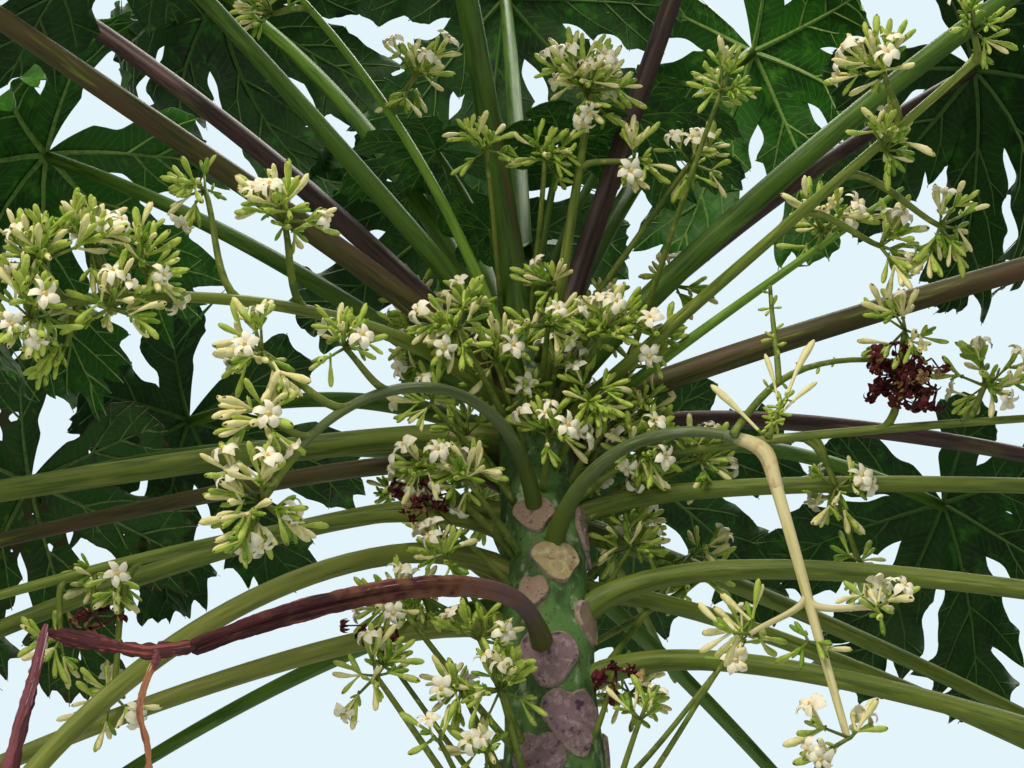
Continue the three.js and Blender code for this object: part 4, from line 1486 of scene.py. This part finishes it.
def grow_withered(blossom, lines):
    """Old flowers that hang crumpled on their stalks."""
    for index, (carrier, u, v, nearer, spread, count) in enumerate(WITHERED):
        random = dice(50, index)
        start, lean, centre = head_place(carrier, u, v, nearer, lines)
        if np.linalg.norm(centre - start) > BRANCH_FROM:
            blossom.branch(start, lean, centre, 2.8)
        for _ in range(count):
            place = centre + any_direction(random) * spread * random.uniform(0.05, 1)
            stem = place - centre
            blossom.withered.append(("twig", pose(centre, stem, 0, 1.2, np.linalg.norm(stem)), 0))
            heading = any_direction(random) + np.array([0, 0, -0.7])
            size = random.uniform(14, 26)
            shape = ("flower", "wide_flower")[int(random.integers(0, 2))]
            width = size * random.uniform(0.6, 1.2)
            tone = 0 if random.uniform(0, 1) < 0.8 else 1
            blossom.withered.append((shape, pose(place, heading, random.uniform(0, 6.3), width, size), tone))


def grow_joint(blossom, lines):
    """The bare, knobbly twigs and the long clubs at the hanging stalk's joint."""
    joint = lines["right_hanging"][2]
    behind = head_place(*WITHERED[0][:4], lines)[2]
    for index, (pixels, thick, knobs, first, last) in enumerate(BARE_TWIGS):
        random = dice(60, index)
        depths = joint[1] + (behind[1] - joint[1]) * np.linspace(first, last, len(pixels))
        line = through([on_plane(u, v, y) for (u, v), y in zip(pixels, depths)], 14)
        blossom.branches.append((line, thick, 0))
        for _ in range(knobs):
            foot = line[int(random.integers(len(line) // 3, len(line)))]
            length = random.uniform(8, 15)
            heading = any_direction(random)
            blossom.buds.append(("young_bud", pose(foot, heading, 0, 1.1 * length, length), 1))
    for foot_pixel, tip_pixel in HANGING_CLUBS:
        foot = on_plane(*foot_pixel, joint[1])
        tip = on_plane(*tip_pixel, joint[1] - 8)
        length = np.linalg.norm(tip - foot)
        blossom.buds.append(("bowed_bud", pose(foot, tip - foot, 2.2, 0.6 * length, length), 2))


def grow_axil_heads(blossom):
    """Smaller heads in the axils all round, on shorter branches where the photograph's own heads stand."""
    for i in range(AXIL_HEADS):
        random = dice(30, i)
        azimuth = (i * SPIRAL_TURN + random.uniform(-10, 10)) % 360
        height = AXIL_TOP - (AXIL_TOP - AXIL_FOOT) * i / AXIL_HEADS
        if height < BARE_BELOW and between(azimuth, BARE_FRONT):
            continue
        lean = direction(azimuth, random.uniform(25, 60))
        start = on_stem(height, azimuth, -4)
        length = random.uniform(60, 110) if between(azimuth, FRONT) else random.uniform(90, 240)
        centre = start + unit(lean + any_direction(random) * 0.25) * length
        axis = blossom.branch(start, lean, centre, 3.2)
        spread = random.uniform(32, 48)
        buds = int(random.integers(16, 30))
        flowers = int(random.integers(0, 3))
        age = random.uniform(0.2, 0.7)
        blossom.head(centre, axis, spread, buds, flowers, age, random)


def make_blossom(lines):
    SHAPES["grown_bud"] = bud_shape(GROWN_BUD, 6, 0)
    SHAPES["bowed_bud"] = bud_shape(GROWN_BUD, 6, 0.06)
    SHAPES["young_bud"] = bud_shape(YOUNG_BUD, 5, 0)
    SHAPES["flower"] = flower_shape(75)
    SHAPES["wide_flower"] = flower_shape(105)
    SHAPES["twig"] = shape_of(turned_shape([(0, 1.1), (1, 0.75)], 5))
    blossom = Blossom()
    grow_heads(blossom, lines)
    grow_joint(blossom, lines)
    grow_withered(blossom, lines)
    grow_axil_heads(blossom)
    blossom.make()


# Surroundings: a plain pale floor, soft light, and a pale sky behind

def make_floor():
    bm = bmesh.new()
    bmesh.ops.create_circle(bm, cap_ends=True, segments=96, radius=FLOOR_RADIUS)
    mesh = bpy.data.meshes.new("floor")
    bm.to_mesh(mesh)
    bm.free()
    floor = bpy.data.objects.new("floor", mesh)
    bpy.context.collection.objects.link(floor)
    mesh.materials.append(skin("floor_matt", "#d9dcd8", 0.9, [("#d6d9d5", 400, 1, 0.4, 0.7)]))


def make_light():
    for name, place, size, power, colour in SOFT_LIGHTS:
        light = bpy.data.lights.new(f"soft_light_{name}", "AREA")
        light.shape = "DISK"
        light.size = size
        light.energy = power
        light.color = linear(colour)[:3]
        lamp = bpy.data.objects.new(light.name, light)
        lamp.location = place
        lamp.rotation_euler = (Vector(place) - Vector(CROWN)).to_track_quat("Z", "Y").to_euler()
        lamp.visible_camera = False
        bpy.context.collection.objects.link(lamp)
    world = bpy.data.worlds.new("sky")
    bpy.context.scene.world = world
    world.use_nodes = True
    tree = world.node_tree
    tree.nodes.clear()
    seen = add_node(tree, "LightPath").outputs["Is Camera Ray"]
    light = add_node(tree, "Background", {"Color": linear("#eef5ec"), "Strength": SKY_LIGHT})
    backdrop = add_node(tree, "Background", {"Color": linear("#e4f4fb"), "Strength": 1.0})
    mixed = add_node(tree, "MixShader", None, {0: seen, 1: light.outputs[0], 2: backdrop.outputs[0]})
    add_node(tree, "OutputWorld", None, {0: mixed.outputs[0]})
    bpy.context.scene.view_settings.view_transform = "Standard"


make_light()
make_floor()
SCAR_PLACES = scar_places()
make_stem(SCAR_PLACES)
make_scars(SCAR_PLACES)
for leaf_index, leaf_row in enumerate(LEAVES):
    make_leaf(leaf_row, leaf_index)
make_young_leaves()
STALK_LINES = carrier_lines()
make_flower_stalks(STALK_LINES)
make_dead_stalk()
make_blossom(STALK_LINES)
